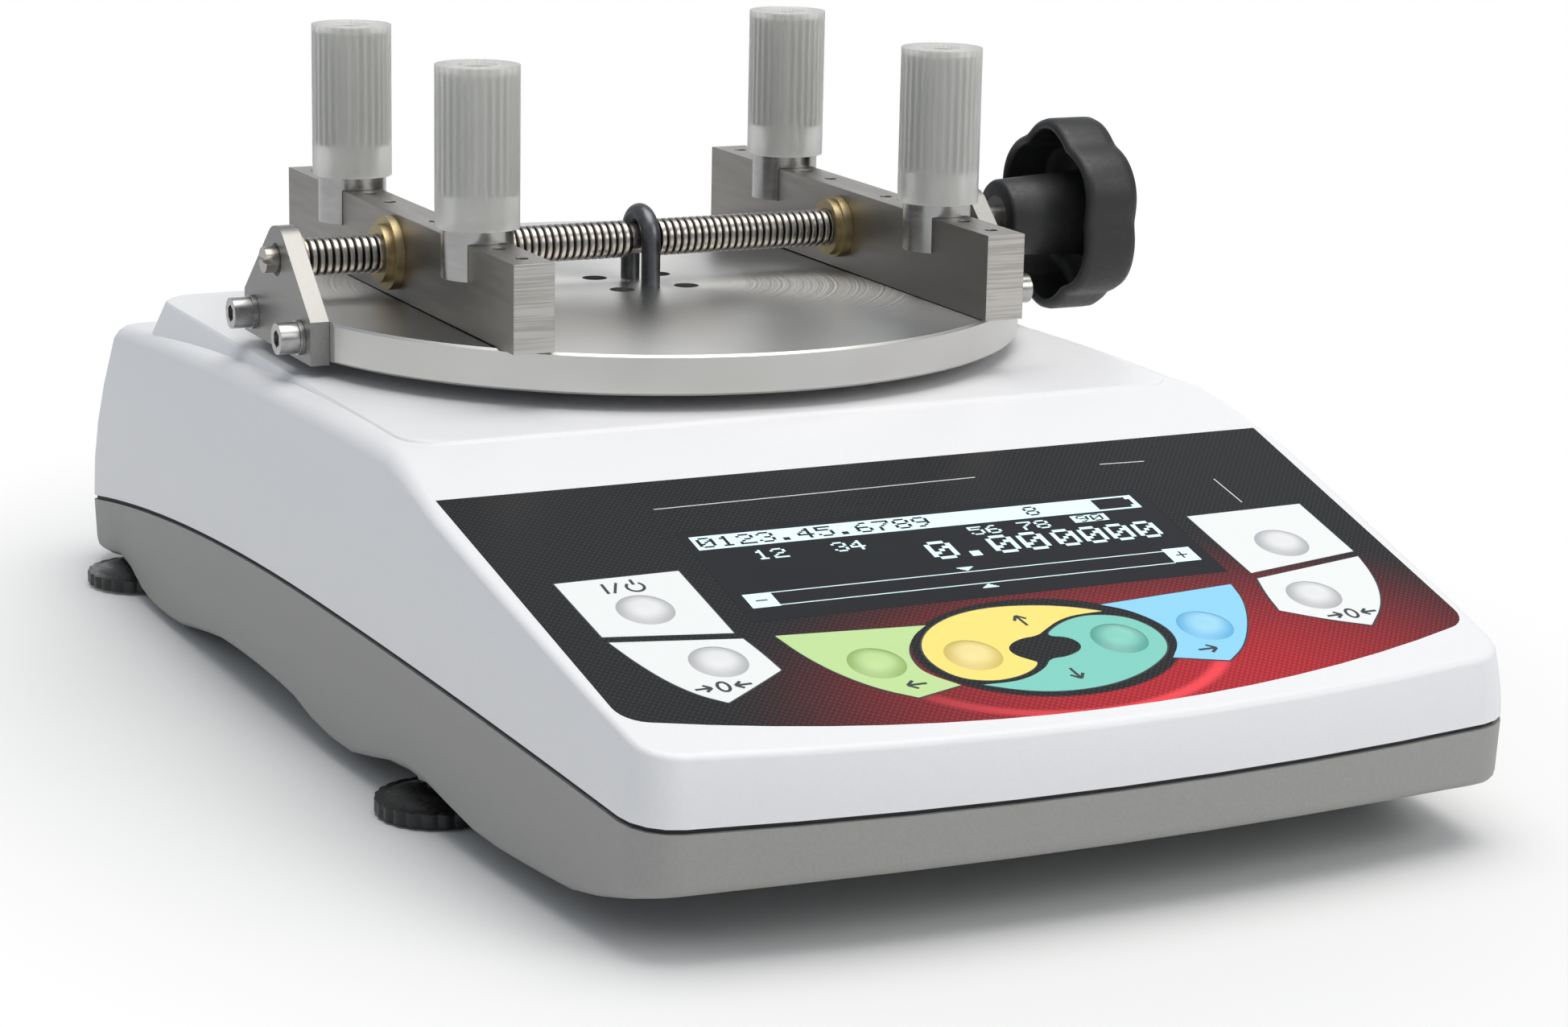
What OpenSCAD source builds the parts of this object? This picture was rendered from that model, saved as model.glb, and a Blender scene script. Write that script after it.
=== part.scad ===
// Bench torque tester for bottle caps: a sloped keypad case on four levelling feet, and above it
// a round steel table with two screw-driven jaws that carry four sleeved pegs.
// The origin is the centre of the table's top face, on the torque axis.
// +Z is up, -Y is the keypad side and +X is the knob side. Heights named ..._h are above the bench.

/* [Case outline] */
// Width of the case over its sides
case_w = 236.6; // [200:0.1:280]
// Reach of the case in front of the torque axis
case_front = 253.2; // [248:0.1:280]
// Reach of the case behind the torque axis
case_back = 133; // [128:0.5:140]
// Radius of the bowed sides seen from above
side_bow_r = 2700; // [1800:50:4000]
// Radius of the bowed front seen from above
front_bow_r = 700; // [600:10:2000]
// Radius of the bowed back seen from above
back_bow_r = 3000; // [2000:50:5000]
// Radius of the front corners seen from above
front_corner_r = 12; // [11:1:24]
// Radius of the back corners seen from above
back_corner_r = 14; // [14:0.5:24]

/* [Case heights] */
// Height of the clamp table's top face above the bench
table_h = 94; // [90:1:110]
// Height of the plateau under the table
plateau_h = 80; // [79.6:0.2:82]
// Width of the plateau
plateau_w = 208; // [196:1:210]
// Reach of the plateau behind the torque axis
plateau_back = 97; // [90:1:100]
// Corner radius of the plateau
plateau_corner_r = 12; // [10:1:30]
// Draft of the plateau's wall from its foot to its top
plateau_draft = 5; // [2:0.5:6]
// Radius of the plateau's top edge
plateau_edge_r = 2; // [1:0.5:3]
// Highest point of the case's crown beside the plateau
crown_h = 79.3; // [76:0.1:79.5]
// Place of the highest point of the crown along Y
crown_y = -80; // [-90:1:-60]
// Radius of the crown seen from the side
crown_r = 1780; // [1500:10:3000]
// Slope of the keypad face
slope_deg = 14.3; // [12:0.1:16]
// Place of the keypad label's top edge along Y
label_top_y = -132.1; // [-136:0.1:-128]
// Height of the keypad label's top edge
label_top_h = 73.2; // [72:0.1:75]
// Highest point of the parting line between the case halves
part_h = 36.9; // [35:0.1:39]
// Place of the highest point of the parting line along Y
part_y = -75; // [-90:1:-60]
// Radius of the parting line in front of its highest point
part_front_r = 1923; // [1700:10:3000]
// Radius of the parting line behind its highest point
part_back_r = 1050; // [1000:10:2000]

/* [Case walls] */
// Wall of both case halves
wall_t = 3; // [2.6:0.1:3.4]
// Radius of the upper case's shoulder
shoulder_r = 6.5; // [5:0.5:7]
// Lean of the upper wall from the parting line to the shoulder
upper_lean = 6; // [4:0.5:6.5]
// Lean of the lower wall from the parting line down
lower_lean = 0.5; // [0.3:0.1:1.5]
// Radius of the lower case's bottom edge
lower_edge_r = 3; // [2.5:0.5:5]
// Width of the lip the lower case's skirt ends in
lip_w = 2; // [1.5:0.5:3]
// Depth from the parting line down to the underside of the floor
floor_drop = 12; // [11:0.5:14]
// Thickness of the floor
floor_t = 2.5; // [2:0.1:3]
// Gap between the case halves that the gasket fills
part_gap = 1.2; // [1:0.1:2]
// Depth of the gasket behind the outer face
gasket_set_back = 0.8; // [0.6:0.1:1.6]

/* [Clamp table] */
// Diameter of the clamp table
table_d = 200; // [190:1:210]
// Thickness of the clamp table
table_t = 10; // [9:0.5:10.5]
// Distance from the torque axis to the flats that carry the brackets
flat_x = 95.5; // [94.5:0.1:97]
// Chamfer round the table's edges
table_chamfer = 0.6; // [0.2:0.1:1]
// Diameter of the table's four fixture holes
fixture_hole_d = 6.6; // [5:0.1:7]
// Pitch circle of the fixture holes
fixture_pcd = 26; // [25:0.5:30]

/* [Jaws] */
// Distance from the torque axis to each jaw at rest
jaw_x = 64; // [60:1:68]
// Thickness of a jaw bar
jaw_t = 10.5; // [9:0.5:12]
// Height of a jaw bar above the table
jaw_h = 22; // [20:0.5:24]
// Length of a jaw bar
jaw_l = 165; // [160:1:174]
// Running gap under a jaw bar
jaw_gap = 0.3; // [0.2:0.05:0.5]
// Pitch of the tapped holes along a jaw
peg_hole_pitch = 14.5; // [14:0.1:14.8]
// Distance from the middle of a jaw to its first tapped hole
peg_hole_first = 16.5; // [15.5:0.1:17]
// Diameter of the tapped holes
peg_hole_d = 3.3; // [2.5:0.1:4]
// Depth of the tapped holes
peg_hole_depth = 12; // [8:0.5:16]

/* [Pegs] */
// Diameter of a peg's steel foot
post_d = 18; // [16:0.5:18.5]
// Reach of the foot's two tongues down the jaw's faces
tongue_h = 9.2; // [6:0.2:9.8]
// Height of the sleeve's lower end above the jaw
sleeve_lift = 3.2; // [2:0.1:5]
// Length of the translucent sleeve
sleeve_l = 39.8; // [34:0.1:46]
// Diameter of the sleeve
sleeve_d = 21; // [19.5:0.5:22]
// Count of the ribs inside a sleeve
sleeve_ribs = 28; // [16:2:36]
// Thickness of the sleeve's closed top
sleeve_cap_t = 3.5; // [3:0.1:6]
// Diameter of the hole for the screw in the sleeve's top
cap_hole_d = 9.8; // [9.6:0.1:11]

/* [Lead screw] */
// Outer diameter of the screw thread
screw_d = 9.8; // [9:0.1:10.2]
// Pitch of both threads
screw_pitch = 2; // [1.6:0.2:2.4]
// Height of the screw's axis above the table
screw_lift = 11.7; // [11:0.1:12.5]
// Diameter of the screw's bearing journals
journal_d = 6.6; // [6:0.1:7]
// Diameter of the plain neck in the middle of the screw
neck_d = 8; // [7:0.1:8]
// Diameter of the left nut's flange
left_flange_d = 19; // [16:0.5:20]
// Diameter of the right nut's flange
right_flange_d = 16.5; // [15.5:0.5:20]

/* [Brackets] */
// Thickness of a bracket
bracket_t = 5; // [4:0.5:6]
// Width of a bracket's foot
bracket_w = 52; // [48:1:54]
// Radius of a bracket's rounded top
bracket_top_r = 8.5; // [7.5:0.5:10]
// Reach of a bracket below the table's top
bracket_drop = 11; // [10:0.2:12]
// Distance between a bracket's two screws
bracket_screw_gap = 36.8; // [34:0.1:38]

/* [Knob] */
// Diameter of the knob over its lobes
knob_d = 53.6; // [48:0.2:58]
// Count of lobes
knob_lobes = 6; // [5:1:9]
// Depth of the flutes between the lobes
knob_flute = 2.9; // [1.5:0.1:3.4]
// Distance from the torque axis to the knob's hub
knob_x = 107; // [104:0.5:110]
// Length of the knob along the screw
knob_l = 32; // [28:0.5:36]
// Length of the knob's lobed skirt
knob_skirt_l = 17; // [14:0.5:20]
// Diameter of the knob's hub
knob_hub_d = 22; // [20:0.5:24]

/* [Keypad] */
// Half width of the label along its top edge
label_half_w = 107.9; // [100:0.1:108]
// Length of the label along the slope at its middle
label_l = 117.3; // [116:0.1:119]
// Radius of the label's bowed bottom edge
label_bow_r = 320; // [280:5:500]
// Lean of the label's sides
label_side_deg = 2.1; // [1:0.1:3]
// Radius of the label's bottom corners
label_corner_r = 8; // [4:0.5:10]
// Thickness of the printed overlay
overlay_t = 0.5; // [0.3:0.1:0.6]
// Thickness of the switch layer under the overlay
switch_t = 1; // [0.9:0.1:1.2]
// Diameter of a key
key_d = 13.3; // [11:0.1:14]
// Rise of a key's dome
key_dome = 0.9; // [0.5:0.1:1.2]
// Travel of a key
key_travel = 0.5; // [0.3:0.05:0.5]
// Clearance round a key
key_gap = 0.15; // [0.1:0.05:0.25]
// Width of the display window
window_w = 120; // [100:1:124]
// Length of the display window along the slope
window_l = 42; // [36:1:44]
// Distance from the label's top edge to the window's middle
window_down = 46; // [44:1:48]

/* [Feet] */
// Diameter of a foot's thumbwheel
foot_d = 30; // [26:1:31]
// Thickness of the thumbwheel's rim
foot_rim_t = 3.2; // [2:0.1:3.6]
// Diameter of a foot's rubber pad
pad_d = 24; // [20:1:25]
// Diameter of the foot's threaded stud
stud_d = 6; // [5:0.5:6]
// Distance from the middle plane to a front foot
front_foot_x = 106.5; // [104:0.5:107]
// Place of the front feet along Y
front_foot_y = -131; // [-134:1:-128]
// Distance from the middle plane to a back foot
back_foot_x = 110; // [108:0.5:110.5]
// Place of the back feet along Y
back_foot_y = 92; // [90:1:94]

/* [Torque cell] */
// Thickness of the steel plate under the torque cell
cell_plate_t = 5; // [4:0.5:6]
// Height of the plate's underside
cell_plate_h = 36; // [35:0.5:37]
// Width and length of the plate
cell_plate_w = 116; // [108:1:124]
// Diameter of the cell's base flange
cell_base_d = 66; // [62:1:72]
// Diameter of the cell's gauged column
cell_column_d = 36; // [32:1:38]
// Diameter of the spindle's flanges
spindle_flange_d = 50; // [48:0.5:52]
// Diameter of the spindle's stem
spindle_d = 28; // [24:1:29]

/* [Inner parts] */
// Length of the battery pack
battery_w = 112; // [90:1:130]
// Width of the battery pack
battery_l = 48; // [40:1:52]
// Thickness of the battery pack
battery_t = 20; // [16:1:24]
// Width of the main board
board_w = 150; // [120:1:160]
// Length of the main board
board_l = 58; // [50:1:62]
// Thickness of the main board
board_t = 1.6; // [1.2:0.1:2]

/* [Hidden] */
$fn = 48;

// Small running and assembly clearances
fit = 0.05;
cut = 1;

// Heights of the lower skirt's edge, from front to back, as shares of the case's length and of the
// parting height: two arches clear the feet, and the skirt drops between them
skirt_shares = [[0, 0.42], [0.021, 0.404], [0.037, 0.371], [0.065, 0.282], [0.089, 0.225],
    [0.109, 0.19], [0.146, 0.171], [0.182, 0.157], [0.218, 0.146], [0.239, 0.176], [0.267, 0.22],
    [0.301, 0.274], [0.34, 0.255], [0.371, 0.206], [0.397, 0.119], [0.425, 0.106], [0.461, 0.114],
    [0.505, 0.203], [0.549, 0.23], [0.614, 0.233], [0.662, 0.209], [0.72, 0.114], [0.759, 0.043],
    [0.821, 0.035], [0.837, 0.065], [0.852, 0.119], [0.873, 0.171], [0.886, 0.19], [0.902, 0.19],
    [0.915, 0.171], [0.935, 0.122], [0.966, 0.098], [1, 0.108]];

// Outline of the case seen from above, as five arcs from the front middle to the back middle
side_centre = [case_w / 2 - side_bow_r, 0];
front_centre = [0, front_bow_r - case_front];
back_centre = [0, case_back - back_bow_r];

// The crossing, on the +X side, of a circle round p and a circle round q
function crossing(p, rp, q, rq, side) =
    let (d = norm(q - p), a = (rp * rp - rq * rq + d * d) / (2 * d),
        h = sqrt(max(0, rp * rp - a * a)), u = (q - p) / d)
    p + a * u + side * h * [-u[1], u[0]];
front_corner = crossing(side_centre, side_bow_r - front_corner_r,
    front_centre, front_bow_r - front_corner_r, -1);
back_corner = crossing(side_centre, side_bow_r - back_corner_r,
    back_centre, back_bow_r - back_corner_r, 1);
function heading(p, q) = atan2(q[1] - p[1], q[0] - p[0]);
front_side_deg = heading(side_centre, front_corner);
back_side_deg = heading(side_centre, back_corner);
front_edge_deg = heading(front_centre, front_corner);
back_edge_deg = heading(back_centre, back_corner);
front_steps = 4;
corner_steps = 4;
side_steps = 30;
function arc(centre, r, from, to, steps, first) =
    [for (i = [first:steps]) centre + r * [cos(from + (to - from) * i / steps),
        sin(from + (to - from) * i / steps)]];
function half_outline(inset) = concat(
    arc(front_centre, front_bow_r - inset, -90, front_edge_deg, front_steps, 0),
    arc(front_corner, front_corner_r - inset, front_edge_deg, front_side_deg, corner_steps, 1),
    arc(side_centre, side_bow_r - inset, front_side_deg, back_side_deg, side_steps, 1),
    arc(back_corner, back_corner_r - inset, back_side_deg, back_edge_deg, corner_steps, 1),
    arc(back_centre, back_bow_r - inset, back_edge_deg, 90, front_steps, 1));
half_count = 2 * front_steps + 2 * corner_steps + side_steps;
ring_count = 2 * half_count;

// Heights along the case
function bow(y, r) = r - sqrt(r * r - y * y);
function slope_h(y) = label_top_h + (y - label_top_y) * tan(slope_deg);
function crown(y) = crown_h - bow(y - crown_y, crown_r);
function top_h(y) = min(slope_h(y), crown(y));
function parting_h(y) = part_h - bow(y - part_y, y < part_y ? part_front_r : part_back_r);
function skirt_h(y) = part_h * lookup((y + case_front) / (case_front + case_back), skirt_shares);
function floor_under_h(y) = max(parting_h(y) - floor_drop, skirt_h(y) + lip_w / 2);
function floor_h(y) = floor_under_h(y) + floor_t;
plateau_front_y = label_top_y + (plateau_h - label_top_h) / tan(slope_deg);

// How much of the rear shoulder's softness each place along the case has, as shares
soft_shares = [[0, 0.3], [0.083, 0.3], [0.293, 0.44], [0.41, 1], [1, 1]];
function soft(y) = lookup((y + case_front) / (case_front + case_back), soft_shares);

// A closed ring of points, with the inset and the height that two rules give each
whole_half = half_outline(0);
inset_half = half_outline(1);
function ring_by(inset_rule, rule) =
    let (half = [for (i = [0:half_count]) whole_half[i]
            + inset_rule(whole_half[i][1]) * (inset_half[i] - whole_half[i])],
        flat_ring = concat(half, [for (i = [half_count - 1:-1:1]) [-half[i][0], half[i][1]]]))
    [for (p = flat_ring) [p[0], p[1], rule(p[1])]];
function ring(inset, rule) = ring_by(function(y) inset, rule);

// A solid skinned over stacked rings: the first and last rings are capped straight across
module skinned(rings) {
    last = len(rings) - 1;
    points = [for (r = rings, p = r) p];
    function at(k, i) = k * ring_count + (i + ring_count) % ring_count;
    walls = [for (k = [0:last - 1], i = [0:ring_count - 1])
        [at(k, i), at(k + 1, i), at(k + 1, i + 1), at(k, i + 1)]];
    first_cap = [for (i = [0:half_count - 1]) [at(0, i), at(0, i + 1), at(0, -i - 1), at(0, -i)]];
    last_cap = [for (i = [0:half_count - 1]) [at(last, -i), at(last, -i - 1), at(last, i + 1),
        at(last, i)]];
    function tidy(f) = [for (j = [0:len(f) - 1]) if (f[j] != f[(j + 1) % len(f)]) f[j]];
    function halves(f) = len(f) == 4 ? [[f[0], f[1], f[2]], [f[0], f[2], f[3]]] : [f];
    polyhedron(points, [for (f = concat(walls, first_cap, last_cap), t = halves(tidy(f))) t]);
}

module on_bench() translate([0, 0, -table_h]) children();
// Local axes on the keypad face: X to the right, Y up the slope, Z out of the face, and the origin
// at the middle of the label's top edge
module on_slope() translate([0, label_top_y, label_top_h - table_h]) rotate([slope_deg, 0, 0])
    children();
module along_x(x) translate([x, 0, screw_lift]) rotate([0, 90, 0]) children();
module tube(r_out, r_in, h) linear_extrude(h) difference() {
    circle(r_out);
    circle(r_in);
}

// Colours seen on the object
white_shell = "#e9e9ea";
grey_shell = "#868684";
black = "#2b2b2c";
steel = "#a9a9a7";
dark_steel = "#77777a";
brass = "#b08d57";

// Places shared by several pieces
case_screw_points = [for (p = [[95, -212, 31.5], [92, -62, 35.5], [85, 84, 30]], side = [-1, 1])
    [side * p[0], p[1], p[2]]];
cell_boss_at = 50;
cell_screw_points = [for (i = [-1, 1], j = [-1, 1]) [i * cell_boss_at, j * cell_boss_at]];
board_back_y = -143;
board_h = 28;
board_points = [for (i = [-1, 1], j = [0, 1])
    [i * (board_w / 2 - 5), board_back_y - 5 - j * (board_l - 10)]];
foot_points = [[-front_foot_x, front_foot_y], [front_foot_x, front_foot_y],
    [-back_foot_x, back_foot_y], [back_foot_x, back_foot_y]];
foot_boss_h = 8.2;
foot_boss_top_h = 26;
function foot_boss_top(y) = min(foot_boss_top_h, parting_h(y) - part_gap / 2 - 2 * fit);
foot_boss_r = 5;
insert_r = 4;
insert_l = 11;
case_boss_r = 4;
case_screw_r = 1.5;
case_head_r = 3.2;
case_head_t = 2.6;
case_head_drop = 5;
lower_boss_r = 5.2;
cell_boss_r = 6;
cell_screw_r = 2.5;
table_screw_pcd = 40;
table_screw_r = 2;
spindle_top_h = table_h - table_t;
spindle_flange_t = 5;
plateau_hole_r = spindle_flange_d / 2 + 2;
plateau_foot_h = 67;
jack_x = -40;
jack_h = 40;
jack_r = 6;
jack_y = case_back - 0.7;
jack_l = 15;
port_x = -65;
port_w = 16;
port_t = 8;
jaw_ys = [for (j = [0:4], side = [-1, 1]) side * (peg_hole_first + j * peg_hole_pitch)];
peg_y = peg_hole_first + 2 * peg_hole_pitch;
peg_ys = [-peg_y, peg_y];
u_rod_r = 2.5;
u_bend_r = 6.7;
u_depth = 10;
thread_end_x = flat_x - 1.2;
neck_half = 3.5;
barrel_r = 6.5;
washer_t = 1;

// Upper case: its wall curves in from the parting line and turns over at the shoulder
lean_steps = 4;
function inner_r(y) = max(soft(y) * shoulder_r - wall_t, wall_t / 5);
module upper_skin() skinned([
    ring_by(function(y) soft(y) * upper_lean + wall_t + inner_r(y), function(y) top_h(y) - wall_t),
    for (a = [60, 30, 0]) ring_by(
        function(y) soft(y) * upper_lean + wall_t + inner_r(y) * (1 - cos(a)),
        function(y) top_h(y) - wall_t - inner_r(y) * (1 - sin(a))),
    ring(wall_t, function(y) parting_h(y) + part_gap / 2),
    for (i = [0:lean_steps - 1]) ring_by(function(y) soft(y) * upper_lean * pow(i / lean_steps, 2),
        function(y) let (low = parting_h(y) + part_gap / 2)
            low + (top_h(y) - soft(y) * shoulder_r - low) * i / lean_steps),
    for (a = [22.5:22.5:90]) ring_by(
        function(y) soft(y) * (upper_lean + shoulder_r * (1 - cos(a))),
        function(y) top_h(y) - soft(y) * shoulder_r * (1 - sin(a)))]);
module plateau_block(inset, from, to) {
    r = plateau_corner_r - inset;
    x = plateau_w / 2 - plateau_corner_r;
    y0 = plateau_front_y + plateau_corner_r;
    y1 = plateau_back - plateau_corner_r;
    corners = [[x, y0, -90], [x, y1, 0], [-x, y1, 90], [-x, y0, 180]];
    translate([0, 0, from]) linear_extrude(to - from) polygon([for (c = corners, a = [0:15:90])
        [c[0] + r * cos(c[2] + a), c[1] + r * sin(c[2] + a)]]);
}
module plateau_body() hull() {
    plateau_block(-plateau_draft, plateau_foot_h, plateau_foot_h + fit);
    for (a = [0, 30, 60]) plateau_block(plateau_edge_r * (1 - cos(a)), plateau_foot_h,
        plateau_h - plateau_edge_r * (1 - sin(a)));
    plateau_block(plateau_edge_r, plateau_foot_h, plateau_h);
}
module upper_case() color(white_shell) difference() {
    union() {
        on_bench() difference() {
            union() {
                upper_skin();
                plateau_body();
            }
            plateau_block(wall_t, plateau_foot_h - cut, plateau_h - wall_t);
        }
        on_bench() for (p = case_screw_points) translate([p[0], p[1], p[2] + fit])
            cylinder(r = case_boss_r, h = min(plateau_h, slope_h(p[1])) - cut - p[2]);
    }
    on_slope() translate([0, 0, -overlay_t - switch_t - fit]) linear_extrude(shoulder_r)
        polygon(label_shape(0));
    on_slope() translate([0, -window_down, -wall_t]) cube([window_w - 6, window_l - 6,
        3 * wall_t], center = true);
    on_bench() {
        for (p = case_screw_points) translate([p[0], p[1], p[2] - cut])
            cylinder(r = case_screw_r + fit, h = 10);
        translate([0, 0, plateau_h - 2 * wall_t]) cylinder(r = plateau_hole_r, h = 3 * wall_t);
        translate([jack_x, case_back - jack_l, jack_h]) rotate([-90, 0, 0])
            cylinder(r = jack_r + fit, h = 2 * jack_l);
        translate([port_x, case_back, jack_h]) cube([port_w + 2 * fit, jack_l, port_t + 2 * fit],
            center = true);
    }
}

// Lower case
module lower_skin() skinned([
    ring(wall_t + lower_edge_r - lip_w, floor_under_h_rule),
    ring(lower_lean + lower_edge_r + lip_w, skirt_rule),
    ring(lower_lean + lower_edge_r, skirt_rule),
    for (a = [60, 30, 0]) ring(lower_lean + lower_edge_r * (1 - cos(a)),
        function(y) skirt_h(y) + lower_edge_r * (1 - sin(a))),
    ring(0, function(y) parting_h(y) - part_gap / 2),
    ring(wall_t, function(y) parting_h(y) - part_gap / 2),
    ring(lower_lean + wall_t, function(y) floor_h(y))]);
floor_under_h_rule = function(y) floor_under_h(y);
skirt_rule = function(y) skirt_h(y);
module lower_case() color(grey_shell) on_bench() difference() {
    union() {
        lower_skin();
        for (p = case_screw_points) rise(p, p[2] - fit, lower_boss_r);
        for (p = cell_screw_points) rise(p, cell_plate_h - fit, cell_boss_r);
        for (p = board_points) rise(p, board_h - fit, 3.5);
        for (p = foot_points) translate([p[0], p[1], foot_boss_h])
            cylinder(r = foot_boss_r, h = foot_boss_top(p[1]) - foot_boss_h);
    }
    for (p = case_screw_points) translate([p[0], p[1], 0]) {
        cylinder(r = case_screw_r + fit, h = p[2] + cut);
        cylinder(r = case_head_r + fit, h = p[2] - case_head_drop);
    }
    for (p = cell_screw_points) translate([p[0], p[1], cell_plate_h - 10])
        cylinder(r = cell_screw_r + fit, h = 10 + cut);
    for (p = foot_points) translate([p[0], p[1], 0])
        cylinder(r = insert_r + fit / 2, h = foot_boss_h + insert_l + 1.5);
}
module rise(p, top, r) translate([p[0], p[1], floor_h(p[1]) - floor_t / 2])
    cylinder(r = r, h = top - floor_h(p[1]) + floor_t / 2);
module case_gasket() color(black) on_bench() {
    low = function(y) parting_h(y) - part_gap / 2 + 3 * fit;
    high = function(y) parting_h(y) + part_gap / 2 - 3 * fit;
    rings = [ring(gasket_set_back, low), ring(gasket_set_back, high), ring(wall_t, high),
        ring(wall_t, low)];
    polyhedron([for (r = rings, p = r) p], [for (k = [0:3], i = [0:ring_count - 1], half = [0, 1])
        let (a = k * ring_count, b = ((k + 1) % 4) * ring_count, j = (i + 1) % ring_count)
        half == 0 ? [a + i, b + i, b + j] : [a + i, b + j, a + j]]);
}
module case_screws() color(steel) on_bench() for (p = case_screw_points)
    translate([p[0], p[1], p[2] - case_head_drop - case_head_t]) difference() {
        union() {
            cylinder(r = case_head_r, h = case_head_t - fit);
            cylinder(r = case_screw_r, h = case_head_t + case_head_drop + 7);
        }
        translate([0, 0, -cut]) cylinder(r = 1.5, h = 2.2, $fn = 6);
    }
module foot_inserts() color(brass) on_bench() for (p = foot_points)
    translate([p[0], p[1], foot_boss_h]) tube(insert_r, stud_d / 2 + fit, insert_l);

// Keypad, all in the axes of the sloped face
label_bow_centre = [0, label_bow_r - label_l];
function label_corner(inset) =
    let (r = label_corner_r, d = [-sin(label_side_deg), -cos(label_side_deg)],
        start = [label_half_w - inset, -inset] + r * [-cos(label_side_deg), sin(label_side_deg)],
        q = start - label_bow_centre, reach = label_bow_r - inset - r, b = q * d)
    start + d * (-b + sqrt(b * b - q * q + reach * reach));
function label_half(inset) =
    let (c = label_corner(inset), bow_deg = heading(label_bow_centre, c))
    concat([for (i = [0:8]) label_bow_centre + (label_bow_r - inset)
            * [cos(-90 + (bow_deg + 90) * i / 8), sin(-90 + (bow_deg + 90) * i / 8)]],
        [for (i = [1:6]) let (a = bow_deg + (-label_side_deg - bow_deg) * i / 6)
            c + label_corner_r * [cos(a), sin(a)]],
        [[label_half_w - inset, -inset]]);
function label_shape(inset) = let (h = label_half(inset), n = len(h))
    concat(h, [for (i = [n - 1:-1:1]) [-h[i][0], h[i][1]]]);
power_at = [-80.9, -57];
unit_at = [80.9, -57];
left_enter_at = [-74.5, -81.4];
right_enter_at = [74.5, -81.4];
start_at = [-40.9, -89.1];
print_at = [40.9, -89.1];
function_at = [-18.2, -90.3];
menu_at = [18.2, -90.3];
key_points = [power_at, unit_at, left_enter_at, right_enter_at, start_at, print_at, function_at,
    menu_at];
module window_block(gap, from, to) translate([-window_w / 2 - gap, -window_down - window_l / 2 - gap,
    from]) cube([window_w + 2 * gap, window_l + 2 * gap, to - from]);
module key_wells(from, to) for (p = key_points) translate([p[0], p[1], from])
    cylinder(d = key_d + 2 * key_gap, h = to - from);
module keypad_overlay() color("#1a1a1a") on_slope() difference() {
    translate([0, 0, -overlay_t]) linear_extrude(overlay_t) polygon(label_shape(fit));
    window_block(fit, -cut, cut);
    key_wells(-cut, cut);
}
module switch_layer() color("#3a3a3a") on_slope() difference() {
    translate([0, 0, -overlay_t - switch_t]) linear_extrude(switch_t - fit)
        polygon(label_shape(2 * fit));
    window_block(fit, -3 * cut, cut);
    key_wells(-3 * cut, cut);
}
module snap_domes() color(steel) on_slope() for (p = key_points)
    translate([p[0], p[1], -overlay_t - switch_t]) cylinder(d = key_d - 1, h = 0.4);
module display_window() color("#222222") on_slope() window_block(0, -overlay_t - switch_t, 0);
module display_module() color("#1b3a35") on_slope()
    translate([0, -window_down, -wall_t * cos(slope_deg) - fit - 3])
    cube([window_w - 4, window_l - 4, 6], center = true);
module key(p) color("#dadada") on_slope() translate([p[0], p[1], 0]) intersection() {
    cap_r = (key_d * key_d / 4 + key_dome * key_dome) / (2 * key_dome);
    translate([0, 0, key_dome - cap_r]) sphere(cap_r);
    translate([0, 0, fit - overlay_t]) cylinder(d = key_d, h = overlay_t + cut);
}
module power_key() key(power_at);
module unit_key() key(unit_at);
module left_enter_key() key(left_enter_at);
module right_enter_key() key(right_enter_at);
module start_key() key(start_at);
module print_key() key(print_at);
module function_key() key(function_at);
module menu_key() key(menu_at);

// Inside the case
module main_board() color("#2f5d3a") on_bench() {
    translate([-board_w / 2, board_back_y - board_l, board_h]) cube([board_w, board_l, board_t]);
    translate([-24, board_back_y - board_l / 2 - 12, board_h]) cube([24, 24, board_t + 3]);
    translate([20, board_back_y - board_l / 2 - 8, board_h]) cube([34, 12, board_t + 6]);
}
module battery_pack() color("#3d5f8a") on_bench() translate([-battery_w / 2, -98 - battery_l / 2,
    floor_h(part_y) + fit]) cube([battery_w, battery_l, battery_t]);
module cell_plate() color(steel) on_bench() difference() {
    translate([-cell_plate_w / 2, -cell_plate_w / 2, cell_plate_h])
        cube([cell_plate_w, cell_plate_w, cell_plate_t]);
    for (p = cell_screw_points) translate([p[0], p[1], cell_plate_h - cut])
        cylinder(r = cell_screw_r + fit, h = cell_plate_t + 2 * cut);
}
cell_h = cell_plate_h + cell_plate_t + fit;
cell_top_h = 69;
module torque_cell() color("#b9b9bb") on_bench() {
    translate([0, 0, cell_h]) cylinder(d = cell_base_d, h = 8);
    translate([0, 0, cell_h]) cylinder(d = cell_column_d, h = cell_top_h - cell_h);
    translate([0, 0, cell_top_h - 7]) cylinder(d = spindle_flange_d, h = 7);
}
module cell_screws() color(dark_steel) on_bench() for (p = cell_screw_points)
    translate([p[0], p[1], 0]) difference() {
        union() {
            translate([0, 0, cell_h]) cylinder(r = 4.25, h = 4);
            translate([0, 0, cell_plate_h - 9]) cylinder(r = cell_screw_r, h = cell_plate_t + 10);
        }
        translate([0, 0, cell_h + 1.5]) cylinder(r = 2.3, h = 3, $fn = 6);
    }
module spindle() color(steel) on_bench() difference() {
    union() {
        translate([0, 0, cell_top_h + fit]) cylinder(d = spindle_flange_d, h = 3);
        translate([0, 0, cell_top_h + fit]) cylinder(d = spindle_d, h = spindle_top_h - cell_top_h - cut);
        translate([0, 0, spindle_top_h - spindle_flange_t])
            cylinder(d = spindle_flange_d, h = spindle_flange_t - fit);
    }
    table_screw_holes(spindle_top_h - spindle_flange_t - cut, spindle_flange_t + 2 * cut);
}
module table_screw_holes(from, h) for (a = [0:90:270]) rotate([0, 0, a])
    translate([table_screw_pcd / 2, 0, from]) cylinder(r = table_screw_r + fit, h = h);
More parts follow.
